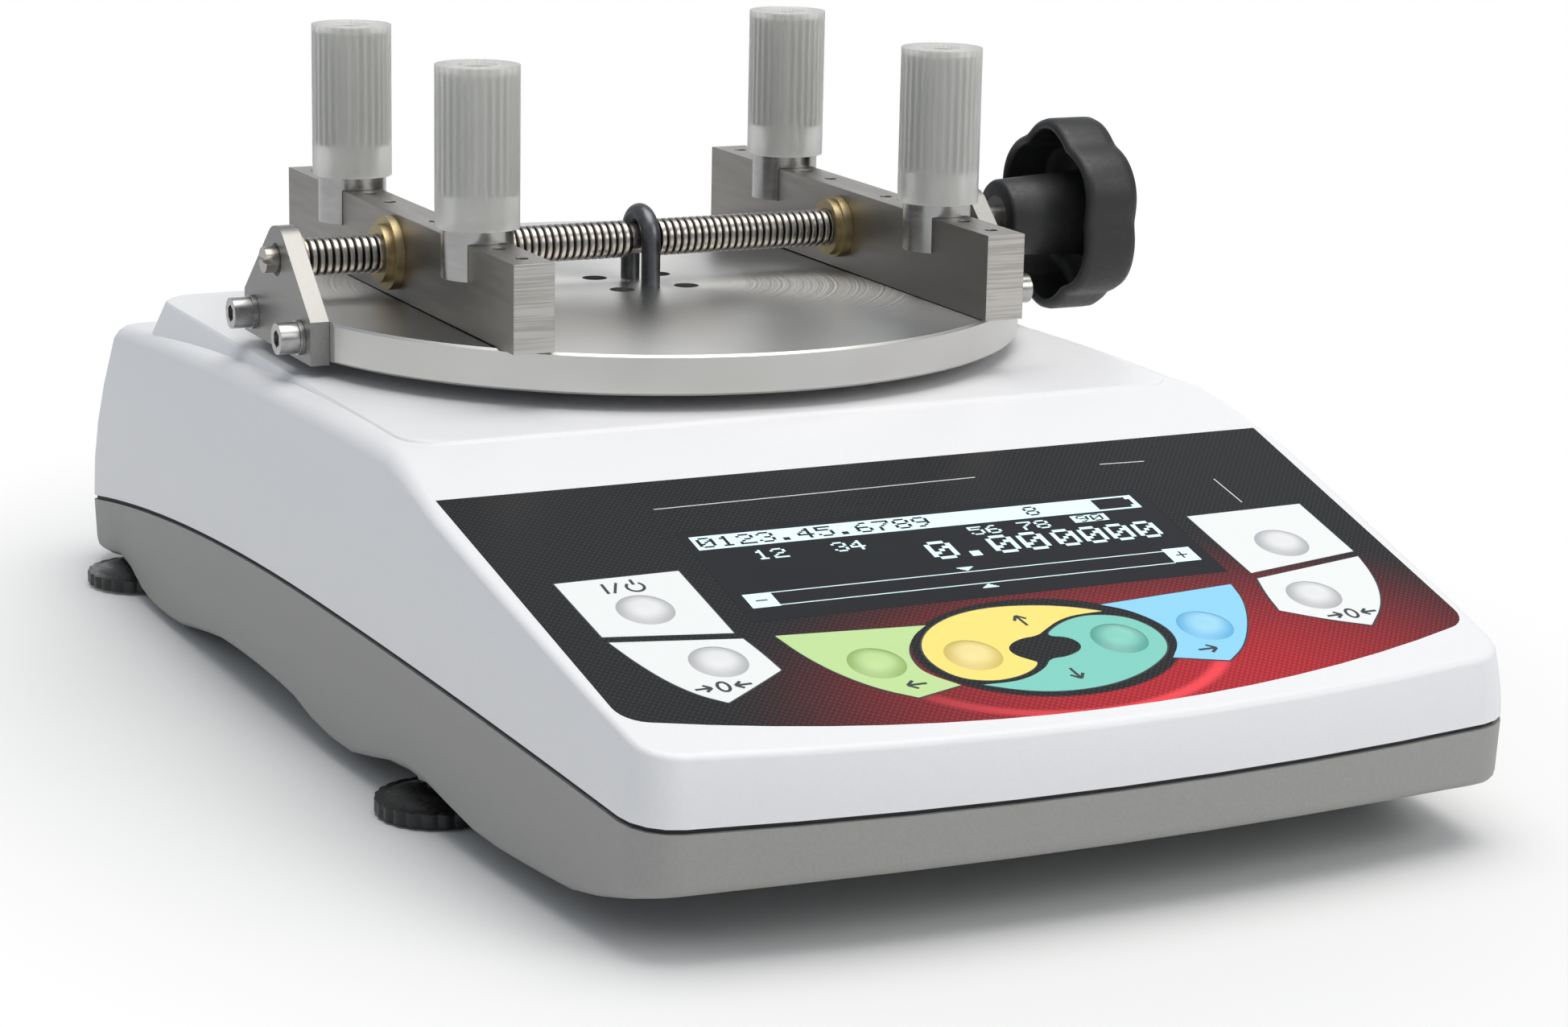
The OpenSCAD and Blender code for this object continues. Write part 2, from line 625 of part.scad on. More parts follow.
module table_screws() color(dark_steel) on_bench() for (a = [0:90:270]) rotate([0, 0, a])
    translate([table_screw_pcd / 2, 0, spindle_top_h - spindle_flange_t - 2.8]) {
        cylinder(r = 3.5, h = 2.75);
        cylinder(r = table_screw_r, h = 2.8 + spindle_flange_t + 6);
    }

// Clamp table
bracket_screw_ys = [-bracket_screw_gap / 2, bracket_screw_gap / 2];
module clamp_table() color("#c4c4c2") difference() {
    intersection() {
        translate([0, 0, -table_t]) rotate_extrude($fn = 96) polygon([[0, 0],
            [table_d / 2 - table_chamfer, 0], [table_d / 2, table_chamfer],
            [table_d / 2, table_t - table_chamfer], [table_d / 2 - table_chamfer, table_t],
            [0, table_t]]);
        cube([2 * flat_x, 2 * table_d, 3 * table_t], center = true);
    }
    for (a = [45:90:315]) rotate([0, 0, a]) translate([fixture_pcd / 2, 0, -table_t - cut])
        cylinder(d = fixture_hole_d, h = table_t + 2 * cut);
    for (y = [-u_bend_r, u_bend_r]) translate([0, y, -u_depth - cut])
        cylinder(r = u_rod_r + fit / 2, h = u_depth + 2 * cut);
    on_bench() table_screw_holes(spindle_top_h - cut, 7.5 + cut);
    for (side = [-1, 1], y = bracket_screw_ys) translate([side * flat_x, y, -table_t / 2])
        rotate([0, 90, 0]) cylinder(r = 2.5 + fit, h = 25, center = true);
}
module u_bolt() color("#6f7072") {
    for (y = [-u_bend_r, u_bend_r]) translate([0, y, -u_depth + fit])
        cylinder(r = u_rod_r, h = screw_lift + u_depth - fit);
    translate([0, 0, screw_lift]) rotate([90, 0, 90]) rotate_extrude(angle = 180)
        translate([u_bend_r, 0]) circle(u_rod_r);
}

// Brackets, seen along the screw as a flat outline
function bracket_tangent() = let (p = [bracket_w / 2, -screw_lift])
    heading([0, 0], p) + acos(bracket_top_r / norm(p));
module bracket(side) color("#bcbcba") difference() {
    translate([side > 0 ? flat_x + fit : -flat_x - fit - bracket_t, 0, 0]) rotate([90, 0, 90])
        linear_extrude(bracket_t) polygon(concat(
            [[-bracket_w / 2, -bracket_drop], [bracket_w / 2, -bracket_drop], [bracket_w / 2, 0]],
            [for (i = [0:16]) let (a = bracket_tangent() + (180 - 2 * bracket_tangent()) * i / 16)
                [bracket_top_r * cos(a), screw_lift + bracket_top_r * sin(a)]],
            [[-bracket_w / 2, 0]]));
    along_x(0) translate([0, 0, side * flat_x - 3 * bracket_t]) cylinder(r = 4.2, h = 6 * bracket_t);
    for (y = bracket_screw_ys) translate([side * flat_x, y, -table_t / 2]) rotate([0, 90, 0])
        cylinder(r = 2.5 + fit, h = 25, center = true);
}
module left_bracket() bracket(-1);
module right_bracket() bracket(1);
bracket_outer_x = flat_x + fit + bracket_t;
spring_washer_t = 1.2;
module bracket_screws() color(dark_steel) for (side = [-90, 90], y = bracket_screw_ys)
    translate([0, y, -table_t / 2]) rotate([0, side, 0]) translate([0, 0, bracket_outer_x
        + spring_washer_t + 2 * fit]) difference() {
        union() {
            cylinder(r = 4, h = 5);
            translate([0, 0, -16]) cylinder(r = 2.5, h = 17);
        }
        translate([0, 0, 2.5]) cylinder(r = 2.3, h = 3, $fn = 6);
    }
module spring_washers() color(steel) for (side = [-90, 90], y = bracket_screw_ys)
    translate([0, y, -table_t / 2]) rotate([0, side, 0]) translate([0, 0, bracket_outer_x + fit])
        tube(4.4, 2.5 + fit, spring_washer_t);
module journal_bushes() color("#4a4038") for (side = [-1, 1])
    along_x(0) translate([0, 0, side > 0 ? flat_x + fit : -flat_x - fit - bracket_t])
        tube(4.2 - fit / 2, journal_d / 2 + fit, bracket_t);
module thrust_washers() color(brass) for (side = [-1, 1])
    along_x(0) translate([0, 0, side > 0 ? thread_end_x + fit : -thread_end_x - fit - washer_t])
        tube(6.5, journal_d / 2 + fit, washer_t);

// Lead screw and knob
journal_end_x = bracket_outer_x + 3.5;
screw_knob_x = knob_x + 18;
teeth = floor((thread_end_x - neck_half) / screw_pitch);
module thread(from) along_x(from) rotate_extrude() polygon(concat([[0, 0]],
    [for (i = [0:teeth - 1], q = [[0, 0.15], [0.1, 0], [0.55, 0], [0.75, 1], [0.9, 1]])
        [screw_d / 2 - q[1] * screw_pitch * 0.3, (i + q[0]) * screw_pitch]],
    [[0, teeth * screw_pitch]]));
module lead_screw() color("#b4b4b0") difference() {
    union() {
        thread(-thread_end_x);
        thread(thread_end_x - teeth * screw_pitch);
        along_x(teeth * screw_pitch - thread_end_x - cut)
            cylinder(d = neck_d, h = 2 * (thread_end_x - teeth * screw_pitch + cut));
        along_x(-journal_end_x) cylinder(d = journal_d, h = journal_end_x - thread_end_x + cut);
        along_x(thread_end_x - cut) cylinder(d = journal_d, h = screw_knob_x - thread_end_x + cut);
    }
    translate([-journal_end_x, 0, screw_lift]) cube([3, journal_d + cut, 1.1], center = true);
}
knob_wall = 3;
knob_skirt_x = knob_x + knob_l - knob_skirt_l - knob_wall;
flute_round = 0.04;
function knob_lobe(r, i) = let (a = i * 360 / (14 * knob_lobes) + 180,
        wave = sqrt((pow(cos((a - 180) * knob_lobes / 2), 2) + flute_round) / (1 + flute_round)))
    (r - knob_flute * (1 - wave)) * [cos(a), sin(a)];
module knob_prism(r, from, to) along_x(from) linear_extrude(to - from)
    polygon([for (i = [0:14 * knob_lobes - 1]) knob_lobe(r, i)]);
module knob() color(black) difference() {
    union() {
        difference() {
            knob_prism(knob_d / 2, knob_x + knob_l - knob_skirt_l, knob_x + knob_l);
            knob_prism(knob_d / 2 - knob_wall, knob_x + knob_l - knob_skirt_l - cut,
                knob_x + knob_l - knob_wall);
        }
        along_x(knob_x) cylinder(d1 = knob_hub_d - 1, d2 = knob_hub_d + 1, h = knob_l - cut);
    }
    along_x(knob_x - cut) cylinder(r = 6 + fit / 2, h = 20 + cut);
    set_screw_hole();
}
module set_screw_hole() translate([knob_x + 6, 0, screw_lift]) cylinder(r = 2 + fit, h = knob_hub_d);
module knob_insert() color(steel) difference() {
    along_x(knob_x - fit) tube(6, journal_d / 2 + fit / 2, 19.8);
    set_screw_hole();
}
module knob_set_screw() color(dark_steel) translate([knob_x + 6, 0, screw_lift + journal_d / 2 + fit])
    difference() {
        cylinder(r = 2, h = 6.5);
        translate([0, 0, 5]) cylinder(r = 1, h = 3, $fn = 6);
    }

// Jaws, nuts and pegs
module jaw(x) color("#8b8b88") difference() {
    translate([x - jaw_t / 2, -jaw_l / 2, jaw_gap]) cube([jaw_t, jaw_l, jaw_h - jaw_gap]);
    for (y = jaw_ys) translate([x, y, jaw_h - peg_hole_depth])
        cylinder(d = peg_hole_d, h = peg_hole_depth + cut);
    along_x(x - jaw_t) cylinder(r = barrel_r + fit / 2, h = 2 * jaw_t);
}
module nut(x, d, step) color(brass) difference() {
    union() {
        along_x(x - jaw_t / 2 - fit - cut) cylinder(r = barrel_r, h = jaw_t + cut);
        along_x(x - jaw_t / 2 - fit - 2.4) cylinder(d = d, h = 2.4);
        along_x(x - jaw_t / 2 - fit - 4.4) cylinder(d = step, h = 4.4);
    }
    along_x(x - 2 * jaw_t) cylinder(d = screw_d + 2 * fit, h = 4 * jaw_t);
}
module posts(x) color(steel) for (y = peg_ys) translate([x, y, 0]) difference() {
    union() {
        translate([0, 0, jaw_h - tongue_h]) cylinder(d = post_d, h = tongue_h + sleeve_lift);
        translate([0, 0, jaw_h]) cylinder(r = 6, h = stem_top - jaw_h);
    }
    translate([-jaw_t / 2 - fit, -post_d, 0]) cube([jaw_t + 2 * fit, 2 * post_d, jaw_h + fit]);
    cylinder(d = peg_hole_d, h = sleeve_l + 2 * jaw_h);
}
stem_top = jaw_h + sleeve_lift + sleeve_l - sleeve_cap_t;
rib_foot = sleeve_l / 5;
screw_head_r = 4.6;
screw_head_t = 2.6;
module sleeves(x) color("#e9ecee") for (y = peg_ys) translate([x, y, jaw_h + sleeve_lift + fit])
    difference() {
        cylinder(d = sleeve_d, h = sleeve_l);
        translate([0, 0, -cut]) cylinder(r = 6 + fit / 2, h = sleeve_l - sleeve_cap_t + cut);
        cylinder(d = cap_hole_d, h = sleeve_l + cut);
        translate([0, 0, rib_foot]) linear_extrude(sleeve_l - rib_foot - sleeve_cap_t / 2)
            polygon([for (i = [0:sleeve_ribs - 1], q = [[0, 6.4], [0.15, 8.6], [0.6, 8.6], [0.75, 6.4]])
                q[1] * [cos((i + q[0]) * 360 / sleeve_ribs), sin((i + q[0]) * 360 / sleeve_ribs)]]);
    }
module peg_screws(x) color("#d2d2d2") for (y = peg_ys) translate([x, y, stem_top + 2 * fit])
    difference() {
        union() {
            cylinder(r = screw_head_r, h = screw_head_t);
            translate([0, 0, jaw_h - peg_hole_depth + 2 * cut - stem_top])
                cylinder(d = peg_hole_d - 2 * fit, h = stem_top - jaw_h + peg_hole_depth);
        }
        translate([0, 0, screw_head_t / 2]) cylinder(r = 1.8, h = 3, $fn = 6);
    }
module left_jaw() jaw(-jaw_x);
module right_jaw() jaw(jaw_x);
module left_nut() nut(-jaw_x, left_flange_d, left_flange_d - 4);
module right_nut() nut(jaw_x, right_flange_d, right_flange_d - 1.5);
module left_posts() posts(-jaw_x);
module right_posts() posts(jaw_x);
module left_sleeves() sleeves(-jaw_x);
module right_sleeves() sleeves(jaw_x);
module left_peg_screws() peg_screws(-jaw_x);
module right_peg_screws() peg_screws(jaw_x);

// Feet
wheel_foot_h = 0.6;
wheel_dome = 2.6;
wheel_dome_w = 26;
module foot(p) color(black) on_bench() translate([p[0], p[1], 0]) difference() {
    cap_r = (wheel_dome_w * wheel_dome_w / 4 + wheel_dome * wheel_dome) / (2 * wheel_dome);
    rim_top = wheel_foot_h + foot_rim_t;
    union() {
        translate([0, 0, wheel_foot_h]) linear_extrude(foot_rim_t) polygon([for (i = [0:143])
            (foot_d / 2 - 0.5 * (1 - abs(cos(i * 30)))) * [cos(i * 2.5), sin(i * 2.5)]]);
        intersection() {
            translate([0, 0, rim_top + wheel_dome - cap_r]) sphere(cap_r);
            translate([0, 0, rim_top - cut]) cylinder(d = wheel_dome_w, h = 2 * wheel_dome);
        }
        translate([0, 0, rim_top]) cylinder(d = stud_d, h = foot_boss_h + insert_l - rim_top - cut);
    }
    translate([0, 0, -cut]) cylinder(d = pad_d + 2 * fit, h = cut + 1.2 + fit);
}
module pad(p) color("#333333") on_bench() translate([p[0], p[1], 0]) cylinder(d = pad_d, h = 1.2);
module front_left_foot() foot(foot_points[0]);
module front_right_foot() foot(foot_points[1]);
module back_left_foot() foot(foot_points[2]);
module back_right_foot() foot(foot_points[3]);
module front_left_pad() pad(foot_points[0]);
module front_right_pad() pad(foot_points[1]);
module back_left_pad() pad(foot_points[2]);
module back_right_pad() pad(foot_points[3]);

// Back wall
module power_jack() color(black) on_bench() translate([jack_x, jack_y - jack_l, jack_h])
    rotate([-90, 0, 0]) difference() {
        cylinder(r = jack_r, h = jack_l);
        translate([0, 0, jack_l - 2.5]) cylinder(r = 4.5, h = 3);
        difference() {
            translate([0, 0, jack_l - 12]) cylinder(r = 3.15, h = 12);
            translate([0, 0, jack_l - 13]) cylinder(r = 1, h = 8);
        }
    }
module data_port() color(steel) on_bench() translate([port_x, jack_y - jack_l / 2, jack_h])
    difference() {
        cube([port_w, jack_l, port_t], center = true);
        translate([0, jack_l / 2, 0]) cube([port_w - 2, jack_l, port_t - 2], center = true);
    }

upper_case();
lower_case();
case_gasket();
keypad_overlay();
switch_layer();
snap_domes();
display_window();
display_module();
main_board();
battery_pack();
cell_plate();
torque_cell();
cell_screws();
spindle();
table_screws();
clamp_table();
left_bracket();
right_bracket();
bracket_screws();
spring_washers();
journal_bushes();
thrust_washers();
u_bolt();
power_jack();
data_port();
case_screws();
foot_inserts();
power_key();
left_enter_key();
start_key();
function_key();
menu_key();
print_key();
unit_key();
right_enter_key();
lead_screw();
knob();
knob_insert();
knob_set_screw();
left_jaw();
left_nut();
left_posts();
left_sleeves();
left_peg_screws();
right_jaw();
right_nut();
right_posts();
right_sleeves();
right_peg_screws();
front_left_foot();
front_left_pad();
front_right_foot();
front_right_pad();
back_left_foot();
back_left_pad();
back_right_foot();
back_right_pad();
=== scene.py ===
"""The looks of a bench torque tester for bottle caps.

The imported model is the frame. This script gives each of its nodes a finish, swaps some of them for
finer meshes, and prints the keypad and the read-out. Lengths in the tables are millimetres, and
keypad places are in the axes of the sloped face: x to the right, s up the slope from the label's
top edge, and n out of the face.
"""
import math

import bmesh
import bpy
from mathutils import Matrix, Vector


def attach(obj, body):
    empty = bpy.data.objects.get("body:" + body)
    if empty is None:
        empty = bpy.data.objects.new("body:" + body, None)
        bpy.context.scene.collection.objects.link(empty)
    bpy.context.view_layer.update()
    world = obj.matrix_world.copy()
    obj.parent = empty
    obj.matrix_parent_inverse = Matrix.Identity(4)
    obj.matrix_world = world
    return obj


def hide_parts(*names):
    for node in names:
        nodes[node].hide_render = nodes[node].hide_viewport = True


MM = 0.001
PER_M = 1000
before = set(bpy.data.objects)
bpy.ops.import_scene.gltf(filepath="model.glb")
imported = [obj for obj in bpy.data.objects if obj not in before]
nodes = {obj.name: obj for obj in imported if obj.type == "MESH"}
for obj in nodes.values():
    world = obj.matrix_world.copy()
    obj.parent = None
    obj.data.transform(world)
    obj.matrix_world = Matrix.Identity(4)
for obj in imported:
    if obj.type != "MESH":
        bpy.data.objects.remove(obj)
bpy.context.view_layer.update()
scene = bpy.context.scene

BENCH = -94.0
SCREW_LIFT = 11.7
SLOPE_DEG = 14.3
SLOPE_COS = math.cos(math.radians(SLOPE_DEG))
LABEL_TOP_Y = -132.1
LABEL_TOP_H = 73.2
LABEL_TOP_Z = BENCH + LABEL_TOP_H
KEY_R = 6.65
KEYS = {"power": (-80.9, -57.0), "unit": (80.9, -57.0), "left_enter": (-74.5, -81.4),
        "right_enter": (74.5, -81.4), "start": (-40.9, -89.1), "print": (40.9, -89.1),
        "function": (-18.2, -90.3), "menu": (18.2, -90.3)}
SIDES = ("left", "right")
CORNERS = ("front_left", "front_right", "back_left", "back_right")


# Camera: solved from the photograph's 1948 x 1276 frame
PHOTO_W = 1948
FOCAL_PX = 4700.0
SENSOR_W = 36.0
NEAREST_M = 0.05
FARTHEST_M = 30.0
CAMERA_AT = Vector((-400.23, -903.25, 176.76))
CAMERA_LOOKS = Vector((0.428778, 0.872204, -0.235394))
CAMERA_UP = Vector((0.085136, 0.220391, 0.971689))


def place_camera():
    data = bpy.data.cameras.new("camera")
    data.sensor_width = SENSOR_W
    data.lens = SENSOR_W * FOCAL_PX / PHOTO_W
    data.clip_start = NEAREST_M
    data.clip_end = FARTHEST_M
    camera = bpy.data.objects.new("camera", data)
    scene.collection.objects.link(camera)
    back = -CAMERA_LOOKS.normalized()
    right = CAMERA_UP.cross(back).normalized()
    up = back.cross(right)
    turn = Matrix((right, up, back)).transposed().to_4x4()
    camera.matrix_world = Matrix.Translation(CAMERA_AT * MM) @ turn
    scene.camera = camera


place_camera()


# Finishes. A Mix node's sockets share their names with those of its other modes, so the ones for
# colours go by number. A noise seldom leaves the span from NOISE_LOW to NOISE_HIGH
MIX_FACTOR, MIX_ONE, MIX_OTHER, MIXED = 0, 6, 7, 2
NOISE_LOW = 0.3
NOISE_HIGH = 0.7


def linear(hex_colour):
    """An sRGB hex colour as the linear RGBA that shaders read."""
    parts = [int(hex_colour[i:i + 2], 16) / 255 for i in (1, 3, 5)]
    return tuple(p / 12.92 if p <= 0.04045 else ((p + 0.055) / 1.055) ** 2.4 for p in parts) + (1.0,)


def add_node(tree, kind, inputs=(), **settings):
    """Adds a node with its settings, and sets or links its inputs."""
    made = tree.nodes.new(kind)
    for name, value in settings.items():
        setattr(made, name, value)
    for name, value in dict(inputs).items():
        if isinstance(value, bpy.types.NodeSocket):
            tree.links.new(value, made.inputs[name])
        else:
            made.inputs[name].default_value = value
    return made


def new_finish(name, colour, roughness, **sockets):
    """A material with one Principled shader. Sockets are named as in the shader, with _ for spaces."""
    material = bpy.data.materials.new(name)
    material.use_nodes = True
    shader = material.node_tree.nodes["Principled BSDF"]
    shader.inputs["Base Color"].default_value = linear(colour)
    shader.inputs["Roughness"].default_value = roughness
    for socket, value in sockets.items():
        shader.inputs[socket.replace("_", " ")].default_value = value
    return material, material.node_tree, shader


def place(tree, scale=(1.0, 1.0, 1.0), tilt_deg=0.0):
    """Object coordinates in millimetres, tilted about x and scaled for a pattern."""
    spot = add_node(tree, "ShaderNodeTexCoord")
    return add_node(tree, "ShaderNodeMapping", {
        "Vector": spot.outputs["Object"], "Scale": [PER_M * s for s in scale],
        "Rotation": (math.radians(tilt_deg), 0.0, 0.0)}).outputs["Vector"]


def uneven_gloss(tree, shader, noise, smoothest, roughest):
    """Spreads the roughness over a noise's usual span."""
    spread = add_node(tree, "ShaderNodeMapRange", {
        "Value": noise.outputs["Fac"], "From Min": NOISE_LOW, "From Max": NOISE_HIGH,
        "To Min": smoothest, "To Max": roughest})
    tree.links.new(spread.outputs["Result"], shader.inputs["Roughness"])


def grain(tree, shader, per_mm, depth_mm, stretch=(1.0, 1.0, 1.0), edge_mm=0.0, rough=None,
          detail=3.0):
    """Fine relief with per_mm bumps to a millimetre, an optional rounded edge and uneven gloss."""
    noise = add_node(tree, "ShaderNodeTexNoise", {
        "Vector": place(tree, stretch), "Scale": per_mm, "Detail": detail})
    bump = add_node(tree, "ShaderNodeBump", {
        "Height": noise.outputs["Fac"], "Distance": depth_mm * MM})
    if edge_mm:
        edge = add_node(tree, "ShaderNodeBevel", {"Radius": edge_mm * MM}, samples=4)
        tree.links.new(edge.outputs["Normal"], bump.inputs["Normal"])
    tree.links.new(bump.outputs["Normal"], shader.inputs["Normal"])
    if rough:
        uneven_gloss(tree, shader, noise, *rough)
    return noise


def tint(tree, shader, factor, dark, light):
    """Varies the base colour between two colours by a factor."""
    mix = add_node(tree, "ShaderNodeMix", {
        MIX_FACTOR: factor, MIX_ONE: linear(dark), MIX_OTHER: linear(light)}, data_type="RGBA")
    tree.links.new(mix.outputs[MIXED], shader.inputs["Base Color"])


def mask(tree, *fades):
    """The product of smooth fades, each of a value from the place where it is 0 to where it is 1."""
    product = None
    for value, nothing, full in fades:
        fade = add_node(tree, "ShaderNodeMapRange", {
            "Value": value, "From Min": nothing, "From Max": full},
            interpolation_type="SMOOTHSTEP").outputs["Result"]
        product = fade if product is None else add_node(
            tree, "ShaderNodeMath", {0: product, 1: fade}, operation="MULTIPLY").outputs[0]
    return product


def moulded_abs():
    # Satin white ABS: the mould's fine spark texture breaks up the highlights, which stay soft
    material, tree, shader = new_finish("satin_moulded_abs", "#ececee", 0.4, IOR=1.53)
    fine = grain(tree, shader, 1.6, 0.012, rough=(0.36, 0.46))
    tint(tree, shader, fine.outputs["Fac"], "#e8e8ea", "#efeff1")
    return material


def textured_abs():
    # Grey ABS from a coarser etched mould: a dull skin with grain that shows close up
    material, tree, shader = new_finish("etched_moulded_abs", "#9d9c99", 0.58, IOR=1.53)
    fine = grain(tree, shader, 1.3, 0.05, rough=(0.5, 0.66))
    tint(tree, shader, fine.outputs["Fac"], "#959491", "#a5a4a1")
    return material


def nitrile_rubber(name, colour):
    # Moulded nitrile rubber: near black and dull, with a little unevenness in its gloss
    material, tree, shader = new_finish(name, colour, 0.75, IOR=1.52)
    grain(tree, shader, 2.0, 0.03, rough=(0.68, 0.82))
    return material


def spot_distance(tree, centre, spread):
    """Distance in plan from a centre, both in millimetres, where a spread on each axis counts as 1."""
    spot = add_node(tree, "ShaderNodeTexCoord")
    away = add_node(tree, "ShaderNodeMapping", {
        "Vector": spot.outputs["Object"],
        "Scale": (PER_M / spread[0], PER_M / spread[1], 0.0),
        "Location": (-centre[0] / spread[0], -centre[1] / spread[1], 0.0)})
    return add_node(tree, "ShaderNodeVectorMath", {0: away.outputs["Vector"]},
                    operation="LENGTH").outputs["Value"]


# Overlay's print: a ring of keys with a red glow round it, and a brighter sweep under it. Distances
# from the ring are in shares of its spread. Each lay of the twill has its angle and its wave scale
TWILL_LAYS = ((38, 0.30), (-52, 0.22))
TWILL_DEPTH = 0.02
RING_AT = (0.0, -219.4)
RING_SPREAD = (31.6, 20.4)
RING_EDGE = (0.98, 1.02)
GLOW_AT = (26.0, -243.0)
GLOW_SPREAD = (1.0, 0.62)
GLOW_FULL = 12.0
GLOW_NONE = 112.0
SWEEP_SHARE = 1.33
SWEEP_FULL = 0.02
SWEEP_NONE = 0.10
SWEEP_FULL_Y = -236.0
SWEEP_NONE_Y = -226.0


def printed_polycarbonate():
    # Back-printed polycarbonate overlay: black twill that glows red round the lower keys, with one
    # brighter sweep under the key ring, and a fine matt hard coat. The real threads are about 0.4 mm
    # apart, and are drawn 1.0 and 1.4 mm apart so that they show
    material, tree, shader = new_finish("twill_printed_polycarbonate", "#1a1a1a", 0.36, IOR=1.5,
                                        Specular_IOR_Level=0.25)
    across = place(tree, tilt_deg=-SLOPE_DEG)
    bands = []
    for turn, scale in TWILL_LAYS:
        lay = add_node(tree, "ShaderNodeMapping", {
            "Vector": across, "Rotation": (0.0, 0.0, math.radians(turn))})
        bands.append(add_node(tree, "ShaderNodeTexWave", {
            "Vector": lay.outputs["Vector"], "Scale": scale, "Distortion": 0.0},
            bands_direction="X", wave_profile="SIN").outputs["Fac"])
    weave = add_node(tree, "ShaderNodeMath", dict(enumerate(bands)), operation="MULTIPLY").outputs[0]
    ring = spot_distance(tree, RING_AT, RING_SPREAD)
    glow = mask(tree, (spot_distance(tree, GLOW_AT, GLOW_SPREAD), GLOW_NONE, GLOW_FULL),
                (ring, *RING_EDGE))
    off_sweep = add_node(tree, "ShaderNodeMath", {0: ring, 1: SWEEP_SHARE}, operation="SUBTRACT")
    near = add_node(tree, "ShaderNodeMath", {0: off_sweep.outputs[0]}, operation="ABSOLUTE")
    spot = add_node(tree, "ShaderNodeTexCoord")
    part_of = add_node(tree, "ShaderNodeSeparateXYZ", {"Vector": spot.outputs["Object"]})
    sweep = mask(tree, (near.outputs[0], SWEEP_NONE, SWEEP_FULL),
                 (part_of.outputs["Y"], SWEEP_NONE_Y * MM, SWEEP_FULL_Y * MM))

    colour = {}
    for name, factor, one, other in (
            ("black", weave, linear("#070708"), linear("#303033")),
            ("dull red", weave, linear("#a01220"), linear("#d52a35")),
            ("red", sweep, "dull red", linear("#f0434c")),
            ("print", glow, "black", "red")):
        colour[name] = add_node(tree, "ShaderNodeMix", {
            MIX_FACTOR: factor, MIX_ONE: colour.get(one, one), MIX_OTHER: colour.get(other, other)},
            data_type="RGBA").outputs[MIXED]
    tree.links.new(colour["print"], shader.inputs["Base Color"])
    bump = add_node(tree, "ShaderNodeBump", {"Height": weave, "Distance": TWILL_DEPTH * MM})
    tree.links.new(bump.outputs["Normal"], shader.inputs["Normal"])
    return material


def print_ink(name, colour):
    # Screen ink seen through the overlay's hard coat: even colour, fine matt grain
    material, tree, shader = new_finish(name, colour, 0.34, IOR=1.55)
    grain(tree, shader, 1.5, 0.006, rough=(0.3, 0.39))
    return material


# Share of a dome's radius that keeps the colour of its middle, before the painted shade of its rim
# begins
DOME_UNSHADED_SHARE = 0.35


def embossed_dome(key, middle, shaded_rim):
    # A dome pressed in the overlay: painted shade darkens its ink towards the rim, where the skin turns
    # down
    material, tree, shader = new_finish(key + "_embossed_dome", middle, 0.3, IOR=1.55)
    x, s = KEYS[key]
    # Painted shade: the ink turns darker from the dome's middle out to its rim
    away = spot_distance(tree, (x, LABEL_TOP_Y + s * SLOPE_COS), (KEY_R, KEY_R * SLOPE_COS))
    tint(tree, shader, mask(tree, (away, DOME_UNSHADED_SHARE, 1.0)), middle, shaded_rim)
    grain(tree, shader, 1.5, 0.005)
    return material


def smoked_acrylic():
    # Hard-coated smoked acrylic over a dark display: it reads as an even, slightly glossy near-black
    material, tree, shader = new_finish("smoked_acrylic", "#1b1b1d", 0.16, IOR=1.49,
                                        Specular_IOR_Level=0.3)
    grain(tree, shader, 0.05, 0.004, rough=(0.13, 0.2), detail=1.0)
    return material


def lit_pixel():
    # Display pixels let pale backlight through, so they look flat and even
    material, tree, shader = new_finish("lit_display_pixel", "#d4eef2", 0.4,
                                        Emission_Color=linear("#d4eef2"), Emission_Strength=0.25)
    grain(tree, shader, 2.0, 0.002)
    return material


TOOL_MARKS_PER_M = 1400.0
TOOL_MARK_DEPTH = 0.004
CLOUDS_PER_M = 18.0


def turned_stainless():
    # Face-turned stainless plate: faint circular tool marks pull the highlights into rays
    material, tree, shader = new_finish("turned_stainless", "#d4d2cf", 0.34, Metallic=1.0,
                                        Anisotropic=0.75)
    spot = add_node(tree, "ShaderNodeTexCoord")
    flat = add_node(tree, "ShaderNodeVectorMath", {
        0: spot.outputs["Object"], 1: (1.0, 1.0, 0.0)}, operation="MULTIPLY")
    out = add_node(tree, "ShaderNodeVectorMath", {0: flat.outputs["Vector"]}, operation="LENGTH")
    rings = add_node(tree, "ShaderNodeTexNoise", {
        "W": out.outputs["Value"], "Scale": TOOL_MARKS_PER_M, "Detail": 2.0}, noise_dimensions="1D")
    cloud = add_node(tree, "ShaderNodeTexNoise", {
        "Vector": spot.outputs["Object"], "Scale": CLOUDS_PER_M, "Detail": 3.0})
    tint(tree, shader, cloud.outputs["Fac"], "#c6c4c0", "#e4e3e1")
    uneven_gloss(tree, shader, rings, 0.3, 0.38)
    bump = add_node(tree, "ShaderNodeBump", {
        "Height": rings.outputs["Fac"], "Distance": TOOL_MARK_DEPTH * MM})
    tree.links.new(bump.outputs["Normal"], shader.inputs["Normal"])
    ring_way = add_node(tree, "ShaderNodeTangent", direction_type="RADIAL", axis="Z")
    tree.links.new(ring_way.outputs["Tangent"], shader.inputs["Tangent"])
    return material


def milled_steel(name, dark, light, rough, stretch, depth_mm, edge_mm=0.25):
    # Machined steel: fine marks, drawn out along the cut or even all over, with an uneven shine
    material, tree, shader = new_finish(name, light, rough[0], Metallic=1.0)
    marks = grain(tree, shader, 1.0, depth_mm, stretch=stretch, edge_mm=edge_mm, rough=rough,
                  detail=4.0)
    tint(tree, shader, marks.outputs["Fac"], dark, light)
    return material


